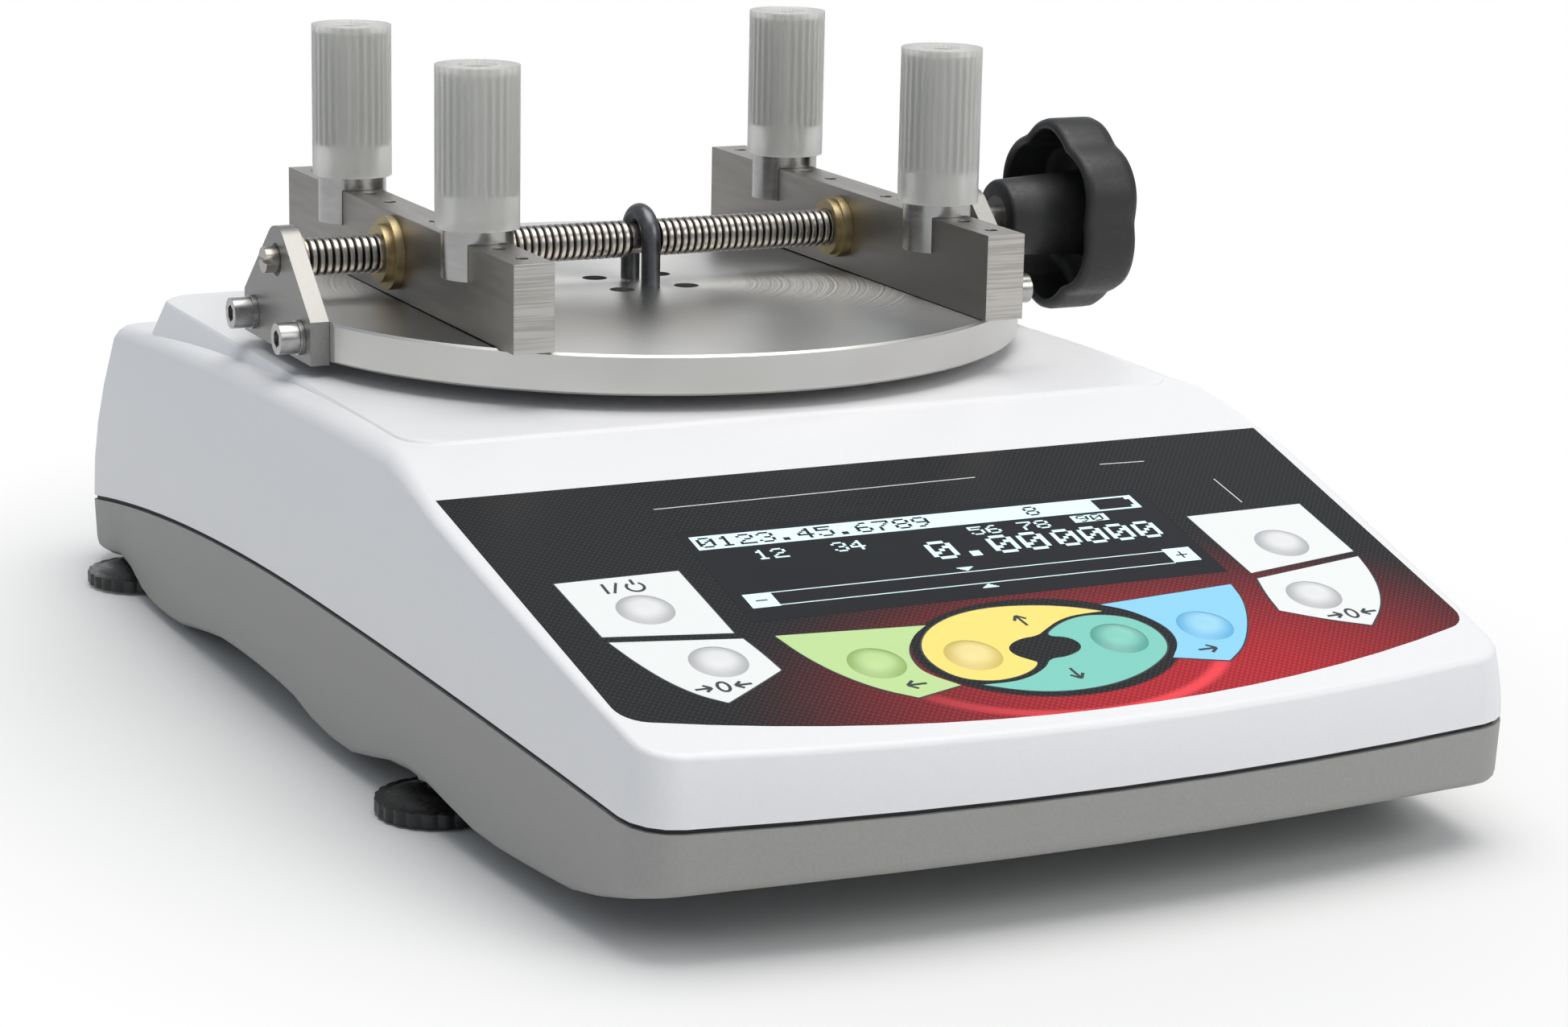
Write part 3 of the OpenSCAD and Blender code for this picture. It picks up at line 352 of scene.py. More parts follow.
def sawn_bar():
    # Ground steel bar: smooth long faces, and ends that keep the pale lines of the saw
    material, tree, shader = new_finish("ground_bar_steel", "#a19d98", 0.36, Metallic=1.0)
    spot = add_node(tree, "ShaderNodeTexCoord")
    facing = add_node(tree, "ShaderNodeSeparateXYZ", {"Vector": spot.outputs["Normal"]})
    ends = add_node(tree, "ShaderNodeMath", {0: facing.outputs["Y"]}, operation="ABSOLUTE")
    lines = add_node(tree, "ShaderNodeTexNoise", {
        "Vector": place(tree, (0.02, 0.02, 1.0)), "Scale": 2.1, "Detail": 5.0})
    pale = add_node(tree, "ShaderNodeMapRange", {
        "Value": lines.outputs["Fac"], "From Min": 0.34, "From Max": 0.62, "To Min": 0.45,
        "To Max": 1.0}, interpolation_type="SMOOTHSTEP")
    sawn = add_node(tree, "ShaderNodeMath", {0: pale.outputs["Result"], 1: ends.outputs[0]},
                    operation="MULTIPLY")
    grain(tree, shader, 1.0, 0.004, stretch=(0.6, 0.05, 0.6), edge_mm=0.25, rough=(0.32, 0.42))
    tint(tree, shader, sawn.outputs[0], "#96928d", "#d0ccc7")
    return material


THREAD_FROM = 3.6
THREAD_TO = 94.0
THREAD_FADE = 0.3
GROOVE_R = 4.35
CREST_R = 4.8


def rolled_thread():
    # Rolled steel thread: bright crests, and painted shade that darkens the grooves between them
    material, tree, shader = new_finish("rolled_thread_steel", "#c9c5bf", 0.28, Metallic=1.0)
    spot = add_node(tree, "ShaderNodeTexCoord")
    off_axis = add_node(tree, "ShaderNodeMapping", {
        "Vector": spot.outputs["Object"], "Scale": (0.0, 1.0, 1.0),
        "Location": (0.0, 0.0, -SCREW_LIFT * MM)})
    radius = add_node(tree, "ShaderNodeVectorMath", {0: off_axis.outputs["Vector"]},
                      operation="LENGTH")
    folded = add_node(tree, "ShaderNodeVectorMath", {0: spot.outputs["Object"]}, operation="ABSOLUTE")
    along = add_node(tree, "ShaderNodeSeparateXYZ", {"Vector": folded.outputs["Vector"]}).outputs["X"]
    # Painted shade: near black in the grooves, between the thread's two ends
    groove_shade = mask(tree, (along, THREAD_FROM * MM, (THREAD_FROM + THREAD_FADE) * MM),
                  (along, (THREAD_TO + THREAD_FADE) * MM, THREAD_TO * MM),
                  (radius.outputs["Value"], CREST_R * MM, GROOVE_R * MM))
    tint(tree, shader, groove_shade, "#b3aea7", "#262320")
    edge = add_node(tree, "ShaderNodeBevel", {"Radius": 0.12 * MM}, samples=4)
    tree.links.new(edge.outputs["Normal"], shader.inputs["Normal"])
    return material


def turned_brass():
    # Turned brass, a little tarnished: warm, with darker clouds in the uneven gloss
    material, tree, shader = new_finish("turned_brass", "#b08d57", 0.3, Metallic=1.0)
    cloud = grain(tree, shader, 0.35, 0.01, edge_mm=0.2, rough=(0.34, 0.5))
    tint(tree, shader, cloud.outputs["Fac"], "#94835f", "#c9b992")
    return material


def phenolic():
    # Pressed black phenolic: satin skin with faint flow marks and softly rounded lobes
    material, tree, shader = new_finish("pressed_phenolic", "#262627", 0.42, IOR=1.6)
    fine = grain(tree, shader, 0.9, 0.03, rough=(0.44, 0.58))
    tint(tree, shader, fine.outputs["Fac"], "#111112", "#1b1b1c")
    return material


def glossy_nylon():
    # Moulded black nylon with a shiny skin, unevenly glossy in patches, and softly rounded edges
    material, tree, shader = new_finish("glossy_moulded_nylon", "#1a1a1b", 0.28, IOR=1.53)
    grain(tree, shader, 0.8, 0.008, edge_mm=0.3, rough=(0.24, 0.38))
    return material


PEG_AT = (64.0, 45.5)
# The sleeves' ribs, and the height where their painted light and shade fades in
SLEEVE_RIBS = 28
RIB_SHADE_FROM_Z = 33.5
RIB_SHADE_FADE = 1.5


def frosted_silicone():
    # Translucent silicone hose: milky, with painted light and shade in pale and dark stripes for the
    # ribs inside it, above its plain lower end. Each of the four sleeves reads its own angle round its
    # own peg
    material, tree, shader = new_finish("frosted_silicone", "#f3f3f0", 0.36, IOR=1.41,
                                        Transmission_Weight=0.7)
    spot = add_node(tree, "ShaderNodeTexCoord")
    folded = add_node(tree, "ShaderNodeVectorMath", {0: spot.outputs["Object"]}, operation="ABSOLUTE")
    about = add_node(tree, "ShaderNodeVectorMath", {
        0: folded.outputs["Vector"], 1: (PEG_AT[0] * MM, PEG_AT[1] * MM, 0.0)}, operation="SUBTRACT")
    flat = add_node(tree, "ShaderNodeSeparateXYZ", {"Vector": about.outputs["Vector"]})
    turn = add_node(tree, "ShaderNodeMath", {0: flat.outputs["Y"], 1: flat.outputs["X"]},
                    operation="ARCTAN2")
    count = add_node(tree, "ShaderNodeMath", {0: turn.outputs[0], 1: float(SLEEVE_RIBS)},
                     operation="MULTIPLY")
    wave = add_node(tree, "ShaderNodeMath", {0: count.outputs[0]}, operation="COSINE")
    high = add_node(tree, "ShaderNodeMapRange", {
        "Value": flat.outputs["Z"], "From Min": RIB_SHADE_FROM_Z * MM,
        "From Max": (RIB_SHADE_FROM_Z + RIB_SHADE_FADE) * MM})
    # Painted light and shade: pale and dark stripes for the ribs round the sleeve, above its plain
    # lower end
    rib_light_and_shade = add_node(tree, "ShaderNodeMath", {0: wave.outputs[0], 1: high.outputs["Result"]},
                    operation="MULTIPLY")
    share = add_node(tree, "ShaderNodeMapRange", {
        "Value": rib_light_and_shade.outputs[0], "From Min": -1.0, "From Max": 1.0})
    tint(tree, shader, share.outputs["Result"], "#e9eae7", "#fbfbf8")
    grain(tree, shader, 0.7, 0.01, rough=(0.3, 0.4))
    return material


def plain_part(name, colour, roughness, metallic=0.0):
    # An inner part that no one sees unless the case is open
    material, tree, shader = new_finish(name, colour, roughness, Metallic=metallic)
    grain(tree, shader, 0.8, 0.02, rough=(roughness - 0.05, roughness + 0.08))
    return material


ABS_WHITE = moulded_abs()
ABS_GREY = textured_abs()
GASKET = nitrile_rubber("gasket_rubber", "#2a2a2e")
PAD_RUBBER = nitrile_rubber("pad_rubber", "#333333")
LABEL = printed_polycarbonate()
WINDOW = smoked_acrylic()
PIXEL = lit_pixel()
STAINLESS = turned_stainless()
JAW_STEEL = sawn_bar()
PLATE_STEEL = milled_steel("blasted_stainless", "#8a8987", "#a7a6a3", (0.36, 0.46), (1.2, 1.2, 1.2),
                           0.006)
SCREW_STEEL = rolled_thread()
POST_STEEL = milled_steel("bright_turned_steel", "#a3a2a0", "#c8c7c5", (0.2, 0.28), (0.15, 0.15, 0.6),
                          0.002, 0.3)
DARK_STEEL = milled_steel("oiled_dark_steel", "#4f5052", "#7e7f82", (0.3, 0.45), (0.4, 0.4, 0.4),
                          0.006)
CAP_STEEL = milled_steel("bright_screw_steel", "#9d9c9a", "#cfcecc", (0.24, 0.34), (0.3, 0.3, 0.3),
                         0.004, 0.2)
BRASS = turned_brass()
PHENOLIC = phenolic()
NYLON = glossy_nylon()
SILICONE = frosted_silicone()
INKS = {
    "white": print_ink("white_ink", "#eef1f0"), "yellow": print_ink("yellow_ink", "#fbe578"),
    "teal": print_ink("teal_ink", "#7ecfc0"), "green": print_ink("green_ink", "#c3e29a"),
    "blue": print_ink("blue_ink", "#8fd5f7"), "dark": print_ink("dark_ink", "#2c3438"),
    "line": print_ink("line_ink", "#d9dcdc"),
}
# Each dome's ink at its middle, and the darker painted shade at its rim
DOME_INKS_AND_RIM_SHADES = {"start": ("#c4e29a", "#93b765"), "print": ("#9fdaf6", "#62b5e2"),
             "function": ("#f6e498", "#d6bf60"), "menu": ("#86d3c3", "#55a497")}
DOMES = {key: embossed_dome(key, *DOME_INKS_AND_RIM_SHADES.get(key, ("#e9e9ea", "#b3b4b7"))) for key in KEYS}
NODE_FINISHES = {
    "upper_case": ABS_WHITE, "lower_case": ABS_GREY, "case_gasket": GASKET, "keypad_overlay": LABEL,
    "switch_layer": plain_part("switch_film", "#3a3a3a", 0.5),
    "snap_domes": plain_part("spring_steel_domes", "#b9b9b7", 0.25, 1.0), "display_window": WINDOW,
    "display_module": plain_part("display_module_black", "#1b3a35", 0.5),
    "main_board": plain_part("solder_masked_board", "#2f5d3a", 0.4),
    "battery_pack": plain_part("shrink_wrapped_cells", "#3d5f8a", 0.3),
    "cell_plate": PLATE_STEEL, "torque_cell": POST_STEEL, "cell_screws": DARK_STEEL,
    "spindle": POST_STEEL, "table_screws": DARK_STEEL, "clamp_table": STAINLESS,
    "left_bracket": PLATE_STEEL, "right_bracket": PLATE_STEEL, "bracket_screws": CAP_STEEL,
    "spring_washers": CAP_STEEL, "journal_bushes": plain_part("dark_bearing_polymer", "#3a332d", 0.5),
    "thrust_washers": BRASS, "u_bolt": DARK_STEEL,
    "power_jack": plain_part("jack_nylon", "#1d1d1e", 0.4),
    "data_port": plain_part("plated_port_shell", "#c2c2c2", 0.3, 1.0), "case_screws": CAP_STEEL,
    "foot_inserts": BRASS, "lead_screw": SCREW_STEEL, "knob": PHENOLIC, "knob_insert": DARK_STEEL,
    "knob_set_screw": DARK_STEEL,
}
NODE_FINISHES.update({key + "_key": dome for key, dome in DOMES.items()})
for side in SIDES:
    NODE_FINISHES.update({
        side + "_jaw": JAW_STEEL, side + "_nut": BRASS, side + "_posts": POST_STEEL,
        side + "_sleeves": SILICONE, side + "_peg_screws": CAP_STEEL})
for corner in CORNERS:
    NODE_FINISHES.update({corner + "_foot": NYLON, corner + "_pad": PAD_RUBBER})
for name, finish in NODE_FINISHES.items():
    nodes[name].data.materials.clear()
    nodes[name].data.materials.append(finish)


# Making pieces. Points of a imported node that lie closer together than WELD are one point
WELD = 0.004


def piece_from(bm, name, finish, body, smooth_deg=35.0):
    """Turns a finished bmesh into a piece that rides on a body."""
    mesh = bpy.data.meshes.new(name)
    for face in bm.faces:
        face.smooth = True
    for edge in bm.edges:
        edge.smooth = not edge.is_manifold or edge.calc_face_angle(0.0) < math.radians(smooth_deg)
    bm.to_mesh(mesh)
    bm.free()
    mesh.materials.append(finish)
    piece = bpy.data.objects.new(name, mesh)
    scene.collection.objects.link(piece)
    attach(piece, body)
    return piece


def joined_copy(node):
    """A bmesh of a CAD node with its loose triangles joined and its degenerate edges and faces removed.
    """
    bm = bmesh.new()
    bm.from_mesh(nodes[node].data)
    bmesh.ops.remove_doubles(bm, verts=bm.verts, dist=WELD * MM)
    bmesh.ops.dissolve_degenerate(bm, edges=bm.edges, dist=WELD * MM)
    return bm


def smooth_copy(node, name, body, smooth_deg=30.0):
    """A copy of a CAD node whose curved faces shade smoothly. It replaces the node."""
    piece = piece_from(joined_copy(node), name, NODE_FINISHES[node], body, smooth_deg)
    even = piece.modifiers.new("even_shading", "WEIGHTED_NORMAL")
    even.keep_sharp = True
    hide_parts(node)
    return piece


smooth_copy("upper_case", "upper_shell", "case")
smooth_copy("lower_case", "lower_shell", "case")
smooth_copy("case_gasket", "gasket_ring", "case")
smooth_copy("clamp_table", "turned_table", "case")
smooth_copy("u_bolt", "u_bolt_rod", "case")
smooth_copy("lead_screw", "threaded_rod", "screw", 50.0)
for side in SIDES:
    ride_on = side + "_slide"
    smooth_copy(side + "_sleeves", side + "_ribbed_sleeves", ride_on)
    smooth_copy(side + "_posts", side + "_slotted_posts", ride_on)
    smooth_copy(side + "_nut", side + "_flanged_nut", ride_on)
    smooth_copy(side + "_bracket", side + "_bearing_bracket", "case")
for corner in CORNERS:
    smooth_copy(corner + "_foot", corner + "_thumbwheel", corner + "_wheel_body")
for node in [name for name in nodes if name.endswith("_key")]:
    smooth_copy(node, node.replace("_key", "_dome"), node + "_cap")


# Knob: six rounded lobes on a hollow skirt, and a flared hub. The lobed rings are given by their
# distance behind the front face, or ahead of the skirt's rear edge, and by how far they are drawn
# in from the outline. The hub's profile is given by x and radius, and ends a hair off the axis
KNOB_R = 26.6
KNOB_LOBES = 6
KNOB_FRONT_X = 139.0
KNOB_SKIRT = 17.0
KNOB_WALL = 3.0
KNOB_FLUTE = 2.9
FLUTE_ROUND = 0.04
LOBE_POINTS = 20
FRONT_RINGS = ((0.55, 9.0), (0.25, 4.5), (0.6, 2.4), (1.6, 0.9), (3.2, 0.1), (5.0, 0.0))
EDGE_RINGS = ((2.4, 0.0), (1.0, 0.35), (0.25, 1.1), (0.0, 1.9), (0.4, 2.7), (1.4, KNOB_WALL))
INNER_RINGS = ((5.0, KNOB_WALL + 0.4), (3.4, KNOB_WALL + 1.4), (3.0, KNOB_WALL + 4.0), (3.0, 14.0))
HUB_END_X = 107.0
HUB_BORE_R = 6.1
HUB_BORE_TO_X = 126.9
HUB_PROFILE = ((KNOB_FRONT_X - 3.0, 12.8), (KNOB_FRONT_X - 5.5, 11.7), (118.0, 11.0), (108.0, 10.35),
               (107.3, 9.9), (HUB_END_X, 9.3), (HUB_END_X, HUB_BORE_R), (HUB_BORE_TO_X, HUB_BORE_R),
               (HUB_BORE_TO_X, 0.02))
HUB_STEPS = 48
KNOB_WELD = 0.003


def lobe_radius(turn, inset):
    """Radius of the knob's outline: broad lobes that meet in narrow rounded flutes."""
    wave = math.sqrt((math.cos(turn * KNOB_LOBES / 2) ** 2 + FLUTE_ROUND) / (1 + FLUTE_ROUND))
    return KNOB_R - inset - KNOB_FLUTE * (1 - wave)


def lobed_ring(bm, x, inset):
    """A closed ring of edges on the knob's outline, drawn in by an inset."""
    count = KNOB_LOBES * LOBE_POINTS
    ring = []
    for i in range(count):
        turn = 2 * math.pi * i / count
        r = lobe_radius(turn, inset)
        ring.append(bm.verts.new(Vector((x, r * math.sin(turn), SCREW_LIFT + r * math.cos(turn))) * MM))
    return [bm.edges.new((ring[i], ring[(i + 1) % count])) for i in range(count)]


def make_knob():
    bm = bmesh.new()
    rear_x = KNOB_FRONT_X - KNOB_SKIRT
    steps = ([(KNOB_FRONT_X - behind, inset) for behind, inset in FRONT_RINGS]
             + [(rear_x + ahead, inset) for ahead, inset in EDGE_RINGS]
             + [(KNOB_FRONT_X - behind, inset) for behind, inset in INNER_RINGS])
    rings = [lobed_ring(bm, x, inset) for x, inset in steps]
    for a, b in zip(rings, rings[1:]):
        bmesh.ops.bridge_loops(bm, edges=a + b)
    for ring in (rings[0], rings[-1]):
        bmesh.ops.contextual_create(bm, geom=ring)
    profile = [bm.verts.new(Vector((x, 0.0, SCREW_LIFT + r)) * MM) for x, r in HUB_PROFILE]
    lines = [bm.edges.new(pair) for pair in zip(profile, profile[1:])]
    bmesh.ops.spin(bm, geom=profile + lines, cent=Vector((0, 0, SCREW_LIFT)) * MM, axis=(1, 0, 0),
                   angle=2 * math.pi, steps=HUB_STEPS, use_merge=True, use_duplicate=False)
    bmesh.ops.remove_doubles(bm, verts=bm.verts, dist=KNOB_WELD * MM)
    bmesh.ops.recalc_face_normals(bm, faces=bm.faces)
    piece = piece_from(bm, "lobed_knob", PHENOLIC, "screw", 50.0)
    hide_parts("knob")


make_knob()


# Keypad print. Each field is a thin skin on the overlay, cut round the domes. Skins are given by how
# far they are lifted off the overlay and how thick they are
BORDER_SKIN = (0.0, 0.02)
FIELD_SKIN = (0.012, 0.04)
BORDER_W = 0.45
FIELD_HOLE = KEY_R - 0.15
BORDER_HOLE = KEY_R + 0.2
RULE_LIFT = 0.004
RULE_W = 0.35
STROKE_LIFT = 0.056
STROKE_STEP = 0.004
STROKE_THICK = 0.01
STROKE_W = 0.75
ARROW_L = 4.6
HEAD_TURN = 140
HEAD_SHARE = 0.55
ZERO_R = (1.25, 1.9)
ZERO_ARROW_L = 3.8
ZERO_TO_ARROW = 4.6
RING_POINTS = 40
ARC_STEPS = 24
slope_turn = Matrix.Rotation(math.radians(SLOPE_DEG), 4, "X")
slope_place = Matrix.Translation(Vector((0.0, LABEL_TOP_Y, LABEL_TOP_Z)) * MM) @ slope_turn


def arc(x, y, rx, ry, start, end, count):
    """Points of an elliptic arc, in degrees from the right, counted upwards."""
    turns = [math.radians(start + (end - start) * i / count) for i in range(count + 1)]
    return [(x + rx * math.cos(t), y + ry * math.sin(t)) for t in turns]


def closed_ring(x, y, rx, ry):
    """Points all round an ellipse, with its first point given once."""
    return arc(x, y, rx, ry, 0, 360 - 360 / RING_POINTS, RING_POINTS - 1)


def curve_through(points):
    """Softens an open outline by cutting its corners twice, and keeps its two ends."""
    for _ in range(2):
        cut = [points[0]]
        for (x0, y0), (x1, y1) in zip(points, points[1:]):
            cut += [(0.75 * x0 + 0.25 * x1, 0.75 * y0 + 0.25 * y1),
                    (0.25 * x0 + 0.75 * x1, 0.25 * y0 + 0.75 * y1)]
        points = cut + [points[-1]]
    return points


def add_loop(bm, points):
    """A closed loop of edges through flat points."""
    ring = [bm.verts.new(Vector((x, y, 0.0)) * MM) for x, y in points]
    return [bm.edges.new((ring[i], ring[(i + 1) % len(ring)])) for i in range(len(ring))]


def printed(name, ink, outlines, lift, thick):
    """A printed skin on the keypad. Loops inside other loops of one outline are holes in it."""
    bm = bmesh.new()
    for loops in outlines:
        edges = [e for loop in loops for e in add_loop(bm, loop)]
        bmesh.ops.triangle_fill(bm, use_beauty=True, use_dissolve=False, edges=edges)
    bmesh.ops.recalc_face_normals(bm, faces=bm.faces)
    if sum(face.normal.z for face in bm.faces) < 0:
        bmesh.ops.reverse_faces(bm, faces=bm.faces)
    raised = bmesh.ops.extrude_face_region(bm, geom=bm.faces[:])
    risen = [v for v in raised["geom"] if isinstance(v, bmesh.types.BMVert)]
    bmesh.ops.translate(bm, verts=risen, vec=(0, 0, thick * MM))
    bmesh.ops.recalc_face_normals(bm, faces=bm.faces)
    bmesh.ops.transform(bm, matrix=slope_place @ Matrix.Translation((0, 0, lift * MM)),
                        verts=bm.verts)
    return piece_from(bm, name, INKS[ink], "case")


def key_hole(key, r):
    """The hole in a skin round a key."""
    return closed_ring(*KEYS[key], r, r)


FIELDS = {
    "power": ("white", [(-96.2, -42.2), (-66.6, -41.9), (-66.0, -70.5), (-94.9, -66.4)]),
    "left_enter": ("white", curve_through([(-65.1, -73.2), (-63.7, -79.9), (-62.7, -87.3)])
                   + curve_through([(-62.9, -87.6), (-71.4, -92.9), (-79.4, -97.7)])
                   + curve_through([(-79.7, -97.6), (-84.4, -93.6), (-88.6, -87.0), (-92.0, -78.0),
                                    (-94.4, -68.9)])),
    "start": ("green", [(-57.5, -73.5)] + curve_through([(-22.5, -76.0), (-27.3, -79.5),
                                                        (-31.4, -85.0), (-32.9, -90.2),
                                                        (-32.4, -95.2), (-27.0, -101.5)])
              + curve_through([(-38.5, -104.4), (-45.4, -99.3), (-51.3, -91.5), (-55.4, -82.5),
                               (-57.6, -73.8)])),
    "print": ("blue", [(57.3, -72.8)] + curve_through([(21.7, -75.4), (27.0, -78.9), (30.8, -84.9),
                                                      (31.9, -90.0), (30.4, -95.4),
                                                      (26.0, -100.5)])
              + curve_through([(38.2, -104.4), (44.9, -99.3), (51.6, -90.0), (56.2, -80.5),
                               (57.4, -73.2)])),
    "unit": ("white", [(64.9, -40.4), (96.6, -39.7), (96.3, -64.1), (65.3, -68.9)]),
    "right_enter": ("white", curve_through([(65.3, -71.6), (63.3, -79.0), (62.2, -86.3)])
                    + curve_through([(62.5, -86.5), (71.0, -92.2), (80.1, -96.8)])
                    + curve_through([(80.5, -96.6), (87.3, -89.8), (91.9, -82.0), (94.6, -74.0),
                                     (96.0, -66.6)])),
    "function": ("yellow", curve_through([(20.5, -78.2), (12.9, -78.5), (8.0, -80.2), (3.4, -83.2),
                                          (0.3, -85.4), (-4.8, -85.8), (-9.0, -88.6), (-9.2, -92.0),
                                          (-6.3, -95.1), (-5.2, -96.3), (-8.6, -99.2),
                                          (-13.8, -101.1), (-19.8, -101.4), (-26.2, -98.6),
                                          (-29.2, -92.0), (-28.4, -84.6), (-23.0, -77.6),
                                          (-14.0, -72.8), (-3.6, -71.3), (7.4, -72.7),
                                          (15.0, -75.2), (20.3, -78.0)])),
    "menu": ("teal", curve_through([(-22.0, -102.4), (-14.5, -102.7), (-9.2, -101.2), (-4.4, -98.3),
                                    (-1.9, -95.2), (2.4, -95.2), (6.8, -93.4), (8.4, -90.4),
                                    (6.8, -87.2), (2.2, -85.9), (5.3, -83.0), (11.2, -79.9),
                                    (17.6, -79.1), (25.0, -81.6), (28.4, -87.0), (28.7, -92.6),
                                    (26.4, -97.6), (21.8, -101.5), (14.9, -105.5), (5.7, -108.4),
                                    (-4.9, -108.9), (-13.8, -106.9), (-21.8, -102.6)])),
}


def grown(points, amount):
    """An outline moved out from its middle, for a dark border under a field."""
    cx = sum(p[0] for p in points) / len(points)
    cy = sum(p[1] for p in points) / len(points)
    return [(x + amount * (x - cx) / max(math.hypot(x - cx, y - cy), 1e-6),
             y + amount * (y - cy) / max(math.hypot(x - cx, y - cy), 1e-6)) for x, y in points]


for key, (ink, outline) in FIELDS.items():
    printed(key + "_field", ink, [[outline, key_hole(key, FIELD_HOLE)]], *FIELD_SKIN)
    border = [grown(outline, BORDER_W), key_hole(key, BORDER_HOLE)]
    printed(key + "_border", "dark", [border], *BORDER_SKIN)


def bar(x0, y0, x1, y1, width):
    """A straight stroke with square ends."""
    along = Vector((x1 - x0, y1 - y0)).normalized()
    side = Vector((-along.y, along.x)) * width / 2
    return [[(x0 + side.x, y0 + side.y), (x0 - side.x, y0 - side.y), (x1 - side.x, y1 - side.y),
             (x1 + side.x, y1 + side.y)]]


def arrow(x, y, degrees, size=ARROW_L):
    """A shaft and a two-stroke head that point along an angle, as separate strokes."""
    way = Vector((math.cos(math.radians(degrees)), math.sin(math.radians(degrees))))
    tip = Vector((x, y)) + way * size / 2
    tail = Vector((x, y)) - way * size / 2
    strokes = [bar(tail.x, tail.y, tip.x, tip.y, STROKE_W)]
    for turn in (HEAD_TURN, -HEAD_TURN):
        end = tip + Vector((math.cos(math.radians(degrees + turn)),
                            math.sin(math.radians(degrees + turn)))) * size * HEAD_SHARE
        strokes.append(bar(tip.x, tip.y, end.x, end.y, STROKE_W))
    return strokes


def ring_stroke(x, y, rx, ry, width):
    """A closed ring."""
    return [[closed_ring(x, y, rx + width / 2, ry + width / 2),
             closed_ring(x, y, rx - width / 2, ry - width / 2)]]


def arc_stroke(x, y, r, width, start, end):
    """A round arc with square ends."""
    outside, inside = r + width / 2, r - width / 2
    return [[arc(x, y, outside, outside, start, end, ARC_STEPS)
             + arc(x, y, inside, inside, end, start, ARC_STEPS)]]


def print_strokes(name, ink, strokes, lift=STROKE_LIFT):
    """Prints strokes that may cross, each a hair higher than the last."""
    for i, loops in enumerate(strokes):
        printed(f"{name}_{i}", ink, [loops], lift + STROKE_STEP * i, STROKE_THICK)


for name, spot in (("function_arrow", (0.0, -78.4, 98)), ("menu_arrow", (0.6, -102.2, 275)),
                   ("start_arrow", (-36.3, -99.2, 180)), ("print_arrow", (35.9, -98.7, 0))):
    print_strokes(name, "dark", arrow(*spot))
for name, x, y in (("left_zero", -77.8, -91.4), ("right_zero", 78.6, -91.0)):
    print_strokes(name, "dark", ring_stroke(x, y, *ZERO_R, STROKE_W)
                  + arrow(x - ZERO_TO_ARROW, y, 0, ZERO_ARROW_L)
                  + arrow(x + ZERO_TO_ARROW, y, 180, ZERO_ARROW_L))
print_strokes("power_icon", "dark", arc_stroke(-79.0, -46.9, 2.0, 0.7, -232, 52)
              + [bar(-79.0, -45.9, -79.0, -43.6, STROKE_W), bar(-86.0, -48.8, -86.0, -44.4, STROKE_W),
                 bar(-84.6, -48.8, -82.6, -44.4, 0.65)])
print_strokes("top_rule", "line", [bar(-60.3, -13.3, 23.0, -12.1, RULE_W),
                                   bar(57.4, -11.4, 69.5, -11.9, RULE_W),
                                   bar(82.2, -23.7, 82.6, -36.2, RULE_W)], RULE_LIFT)


# Read-out: lit pixels stand a hair above the window, and dark ones above the lit ones. Blocks are
# given by two corners, and numbers by their left and top edges and the width and height of a dot
LIT_LIFT = 0.02
DARK_LIFT = LIT_LIFT + 0.012
DOTS_ACROSS = 5
LETTER_GAP = 1
POINTER_ROWS = 4
POINTER_DOT = 0.42
POINTER_TIP = 0.4
POINTER_GROW = 0.55
LIT_BLOCKS = ((-58.0, -27.6, 45.3, -33.9), (45.3, -27.6, 56.4, -28.3), (45.3, -33.2, 56.4, -33.9),
              (55.2, -28.3, 56.4, -33.2), (54.2, -28.3, 55.2, -29.4), (54.2, -32.1, 55.2, -33.2),
              (36.0, -34.9, 45.2, -38.2), (-57.2, -55.0, -50.4, -61.2), (49.8, -54.2, 57.0, -60.6),
              (-50.4, -55.0, 49.8, -55.35), (-50.4, -60.6, 49.8, -60.95))
LIT_NUMBERS = (("12", -46.5, -36.2, 0.72, 0.62), ("34", -27.0, -36.2, 0.72, 0.62),
               ("56 78", 8.5, -35.3, 0.72, 0.55), ("0.00", -5.6, -40.2, 1.32, 1.18),
               ("0000", 27.0, -40.4, 1.2, 1.12))
DARK_BLOCKS = ((-55.2, -57.9, -52.4, -58.4), (51.9, -57.2, 54.9, -57.7), (53.15, -55.9, 53.65, -59.0))
DARK_NUMBERS = (("0123.45.6789", -57.0, -28.4, 0.82, 0.66), ("8", 26.4, -28.5, 0.7, 0.62),
                ("90", 37.2, -35.0, 0.62, 0.44))
DIGITS = {
    "0": ("01110", "10001", "10011", "10101", "11001", "10001", "01110"),
    "1": ("00100", "01100", "00100", "00100", "00100", "00100", "01110"),
    "2": ("01110", "10001", "00001", "00110", "01000", "10000", "11111"),
    "3": ("01110", "10001", "00001", "00110", "00001", "10001", "01110"),
    "4": ("00010", "00110", "01010", "10010", "11111", "00010", "00010"),
    "5": ("11111", "10000", "11110", "00001", "00001", "10001", "01110"),
    "6": ("00110", "01000", "10000", "11110", "10001", "10001", "01110"),
    "7": ("11111", "00001", "00010", "00100", "01000", "01000", "01000"),
    "8": ("01110", "10001", "10001", "01110", "10001", "10001", "01110"),
    "9": ("01110", "10001", "10001", "01111", "00001", "00010", "01100"),
    ".": ("00000", "00000", "00000", "00000", "00000", "01100", "01100"),
    " ": ("00000",) * 7,
}


def block(bm, x0, y0, x1, y1, lift):
    """One rectangle of the read-out."""
    size = Matrix.Diagonal((abs(x1 - x0) * MM, abs(y1 - y0) * MM, 1.0, 1.0))
    spot = Matrix.Translation(Vector(((x0 + x1) / 2, (y0 + y1) / 2, lift)) * MM)
    bmesh.ops.create_grid(bm, x_segments=1, y_segments=1, size=0.5, matrix=slope_place @ spot @ size)


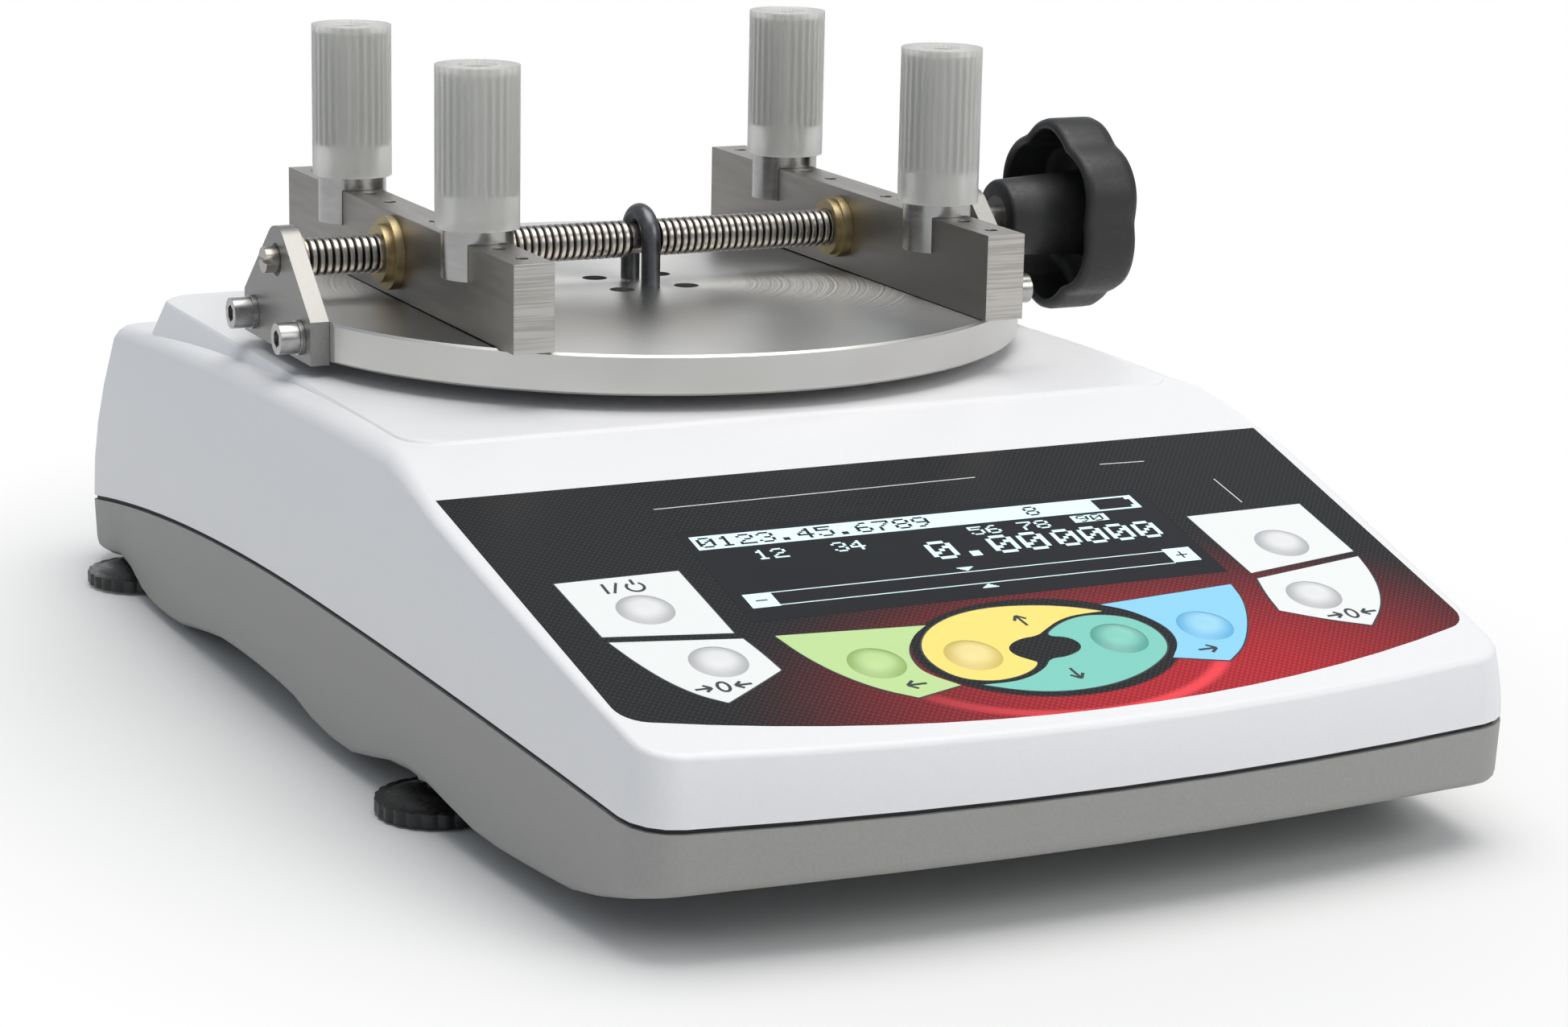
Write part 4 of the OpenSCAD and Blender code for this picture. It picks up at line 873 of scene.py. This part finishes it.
def write_number(bm, text, x, top, dot_w, dot_h, lift):
    """Writes a plain number as dots."""
    for letter in text:
        for row, line in enumerate(DIGITS[letter]):
            for column, on in enumerate(line):
                if on == "1":
                    x0, y0 = x + column * dot_w, top - row * dot_h
                    block(bm, x0, y0, x0 + dot_w, y0 - dot_h, lift)
        x += (DOTS_ACROSS + LETTER_GAP) * dot_w


def pointer(x, y, way):
    """The blocks of a small triangle that widens upwards or downwards from its tip."""
    rows = []
    for row in range(POINTER_ROWS):
        half = POINTER_TIP + POINTER_GROW * row
        rows.append((x - half, y + way * POINTER_DOT * row,
                     x + half, y + way * POINTER_DOT * (row + 1)))
    return rows


def make_pixels(name, finish, lift, blocks, numbers):
    """One layer of the read-out."""
    bm = bmesh.new()
    for corners in blocks:
        block(bm, *corners, lift)
    for number in numbers:
        write_number(bm, *number, lift)
    piece_from(bm, name, finish, "case")


pointers = (*pointer(-1.0, -54.6, 1), *pointer(0.7, -61.3, -1))
make_pixels("readout_pixels", PIXEL, LIT_LIFT, LIT_BLOCKS + pointers, LIT_NUMBERS)
make_pixels("readout_dark_pixels", WINDOW, DARK_LIFT, DARK_BLOCKS, DARK_NUMBERS)


# Studio: a pale floor that turns pure white away from the object, a broad lamp above, and softer
# ones at the front right and behind. Lengths here are metres, and lamps have a place, a size and watts
LAMP_WHITE = (1.0, 0.97, 0.93)
LAMPS = {"top_lamp": ((0.15, -0.1, 1.6), (1.5, 1.5), 22.5),
         "front_lamp": ((0.9, -1.3, 0.9), (1.0, 0.8), 7.0),
         "back_lamp": ((0.8, 1.7, 0.5), (1.8, 0.7), 2.6)}
LAMPS_AIM = Vector((0.0, 0.0, -0.03))
FLOOR_HALF = 6.0
FLOOR_BELOW_FEET = 0.0002
FADE_SCALE = (1.4, 1.0, 0.0)
FADE_SHIFT = (0.0, 0.06, 0.0)
FADE_FROM = 0.2
FADE_TO = 0.35


def empty_tree(owner):
    """The node tree of a material or world, with nothing in it."""
    owner.use_nodes = True
    owner.node_tree.nodes.clear()
    return owner.node_tree


def seen_share(tree):
    """1 for rays that reach the eye straight or through clear material, and 0 for others."""
    path = add_node(tree, "ShaderNodeLightPath")
    return add_node(tree, "ShaderNodeMath", {
        0: path.outputs["Is Camera Ray"], 1: path.outputs["Is Transmission Ray"]},
        operation="MAXIMUM").outputs[0]


def make_floor():
    material = bpy.data.materials.new("pale_studio_floor")
    tree = empty_tree(material)
    lit = add_node(tree, "ShaderNodeBsdfDiffuse", {"Color": (0.82, 0.82, 0.82, 1.0)})
    white = add_node(tree, "ShaderNodeEmission", {"Color": (1.0, 1.0, 1.0, 1.0), "Strength": 1.0})
    spot = add_node(tree, "ShaderNodeTexCoord")
    about = add_node(tree, "ShaderNodeMapping", {
        "Vector": spot.outputs["Object"], "Scale": FADE_SCALE, "Location": FADE_SHIFT})
    out_of = add_node(tree, "ShaderNodeVectorMath", {0: about.outputs["Vector"]}, operation="LENGTH")
    fade = mask(tree, (out_of.outputs["Value"], FADE_FROM, FADE_TO))
    share = add_node(tree, "ShaderNodeMath", {0: seen_share(tree), 1: fade}, operation="MULTIPLY")
    mix = add_node(tree, "ShaderNodeMixShader", {
        "Fac": share.outputs[0], 1: lit.outputs[0], 2: white.outputs[0]})
    add_node(tree, "ShaderNodeOutputMaterial", {"Surface": mix.outputs[0]})
    bm = bmesh.new()
    bmesh.ops.create_grid(bm, x_segments=1, y_segments=1, size=FLOOR_HALF,
                          matrix=Matrix.Translation((0, 0, BENCH * MM - FLOOR_BELOW_FEET)))
    mesh = bpy.data.meshes.new("studio_floor")
    bm.to_mesh(mesh)
    bm.free()
    mesh.materials.append(material)
    floor = bpy.data.objects.new("studio_floor", mesh)
    scene.collection.objects.link(floor)


def make_surround():
    scene.world = bpy.data.worlds.new("studio")
    tree = empty_tree(scene.world)
    soft = add_node(tree, "ShaderNodeBackground", {"Color": (0.85, 0.92, 1.0, 1.0), "Strength": 0.41})
    clean = add_node(tree, "ShaderNodeBackground", {"Color": (1.0, 1.0, 1.0, 1.0), "Strength": 1.0})
    mix = add_node(tree, "ShaderNodeMixShader", {
        "Fac": seen_share(tree), 1: soft.outputs[0], 2: clean.outputs[0]})
    add_node(tree, "ShaderNodeOutputWorld", {"Surface": mix.outputs[0]})


def make_lamps():
    for name, (at, size, watts) in LAMPS.items():
        data = bpy.data.lights.new(name, "AREA")
        data.shape = "RECTANGLE"
        data.size, data.size_y = size
        data.energy = watts
        data.color = LAMP_WHITE
        lamp = bpy.data.objects.new(name, data)
        scene.collection.objects.link(lamp)
        lamp.location = at
        lamp.rotation_euler = (LAMPS_AIM - Vector(at)).to_track_quat("-Z", "Y").to_euler()


make_floor()
make_surround()
make_lamps()
scene.view_settings.view_transform = "Standard"
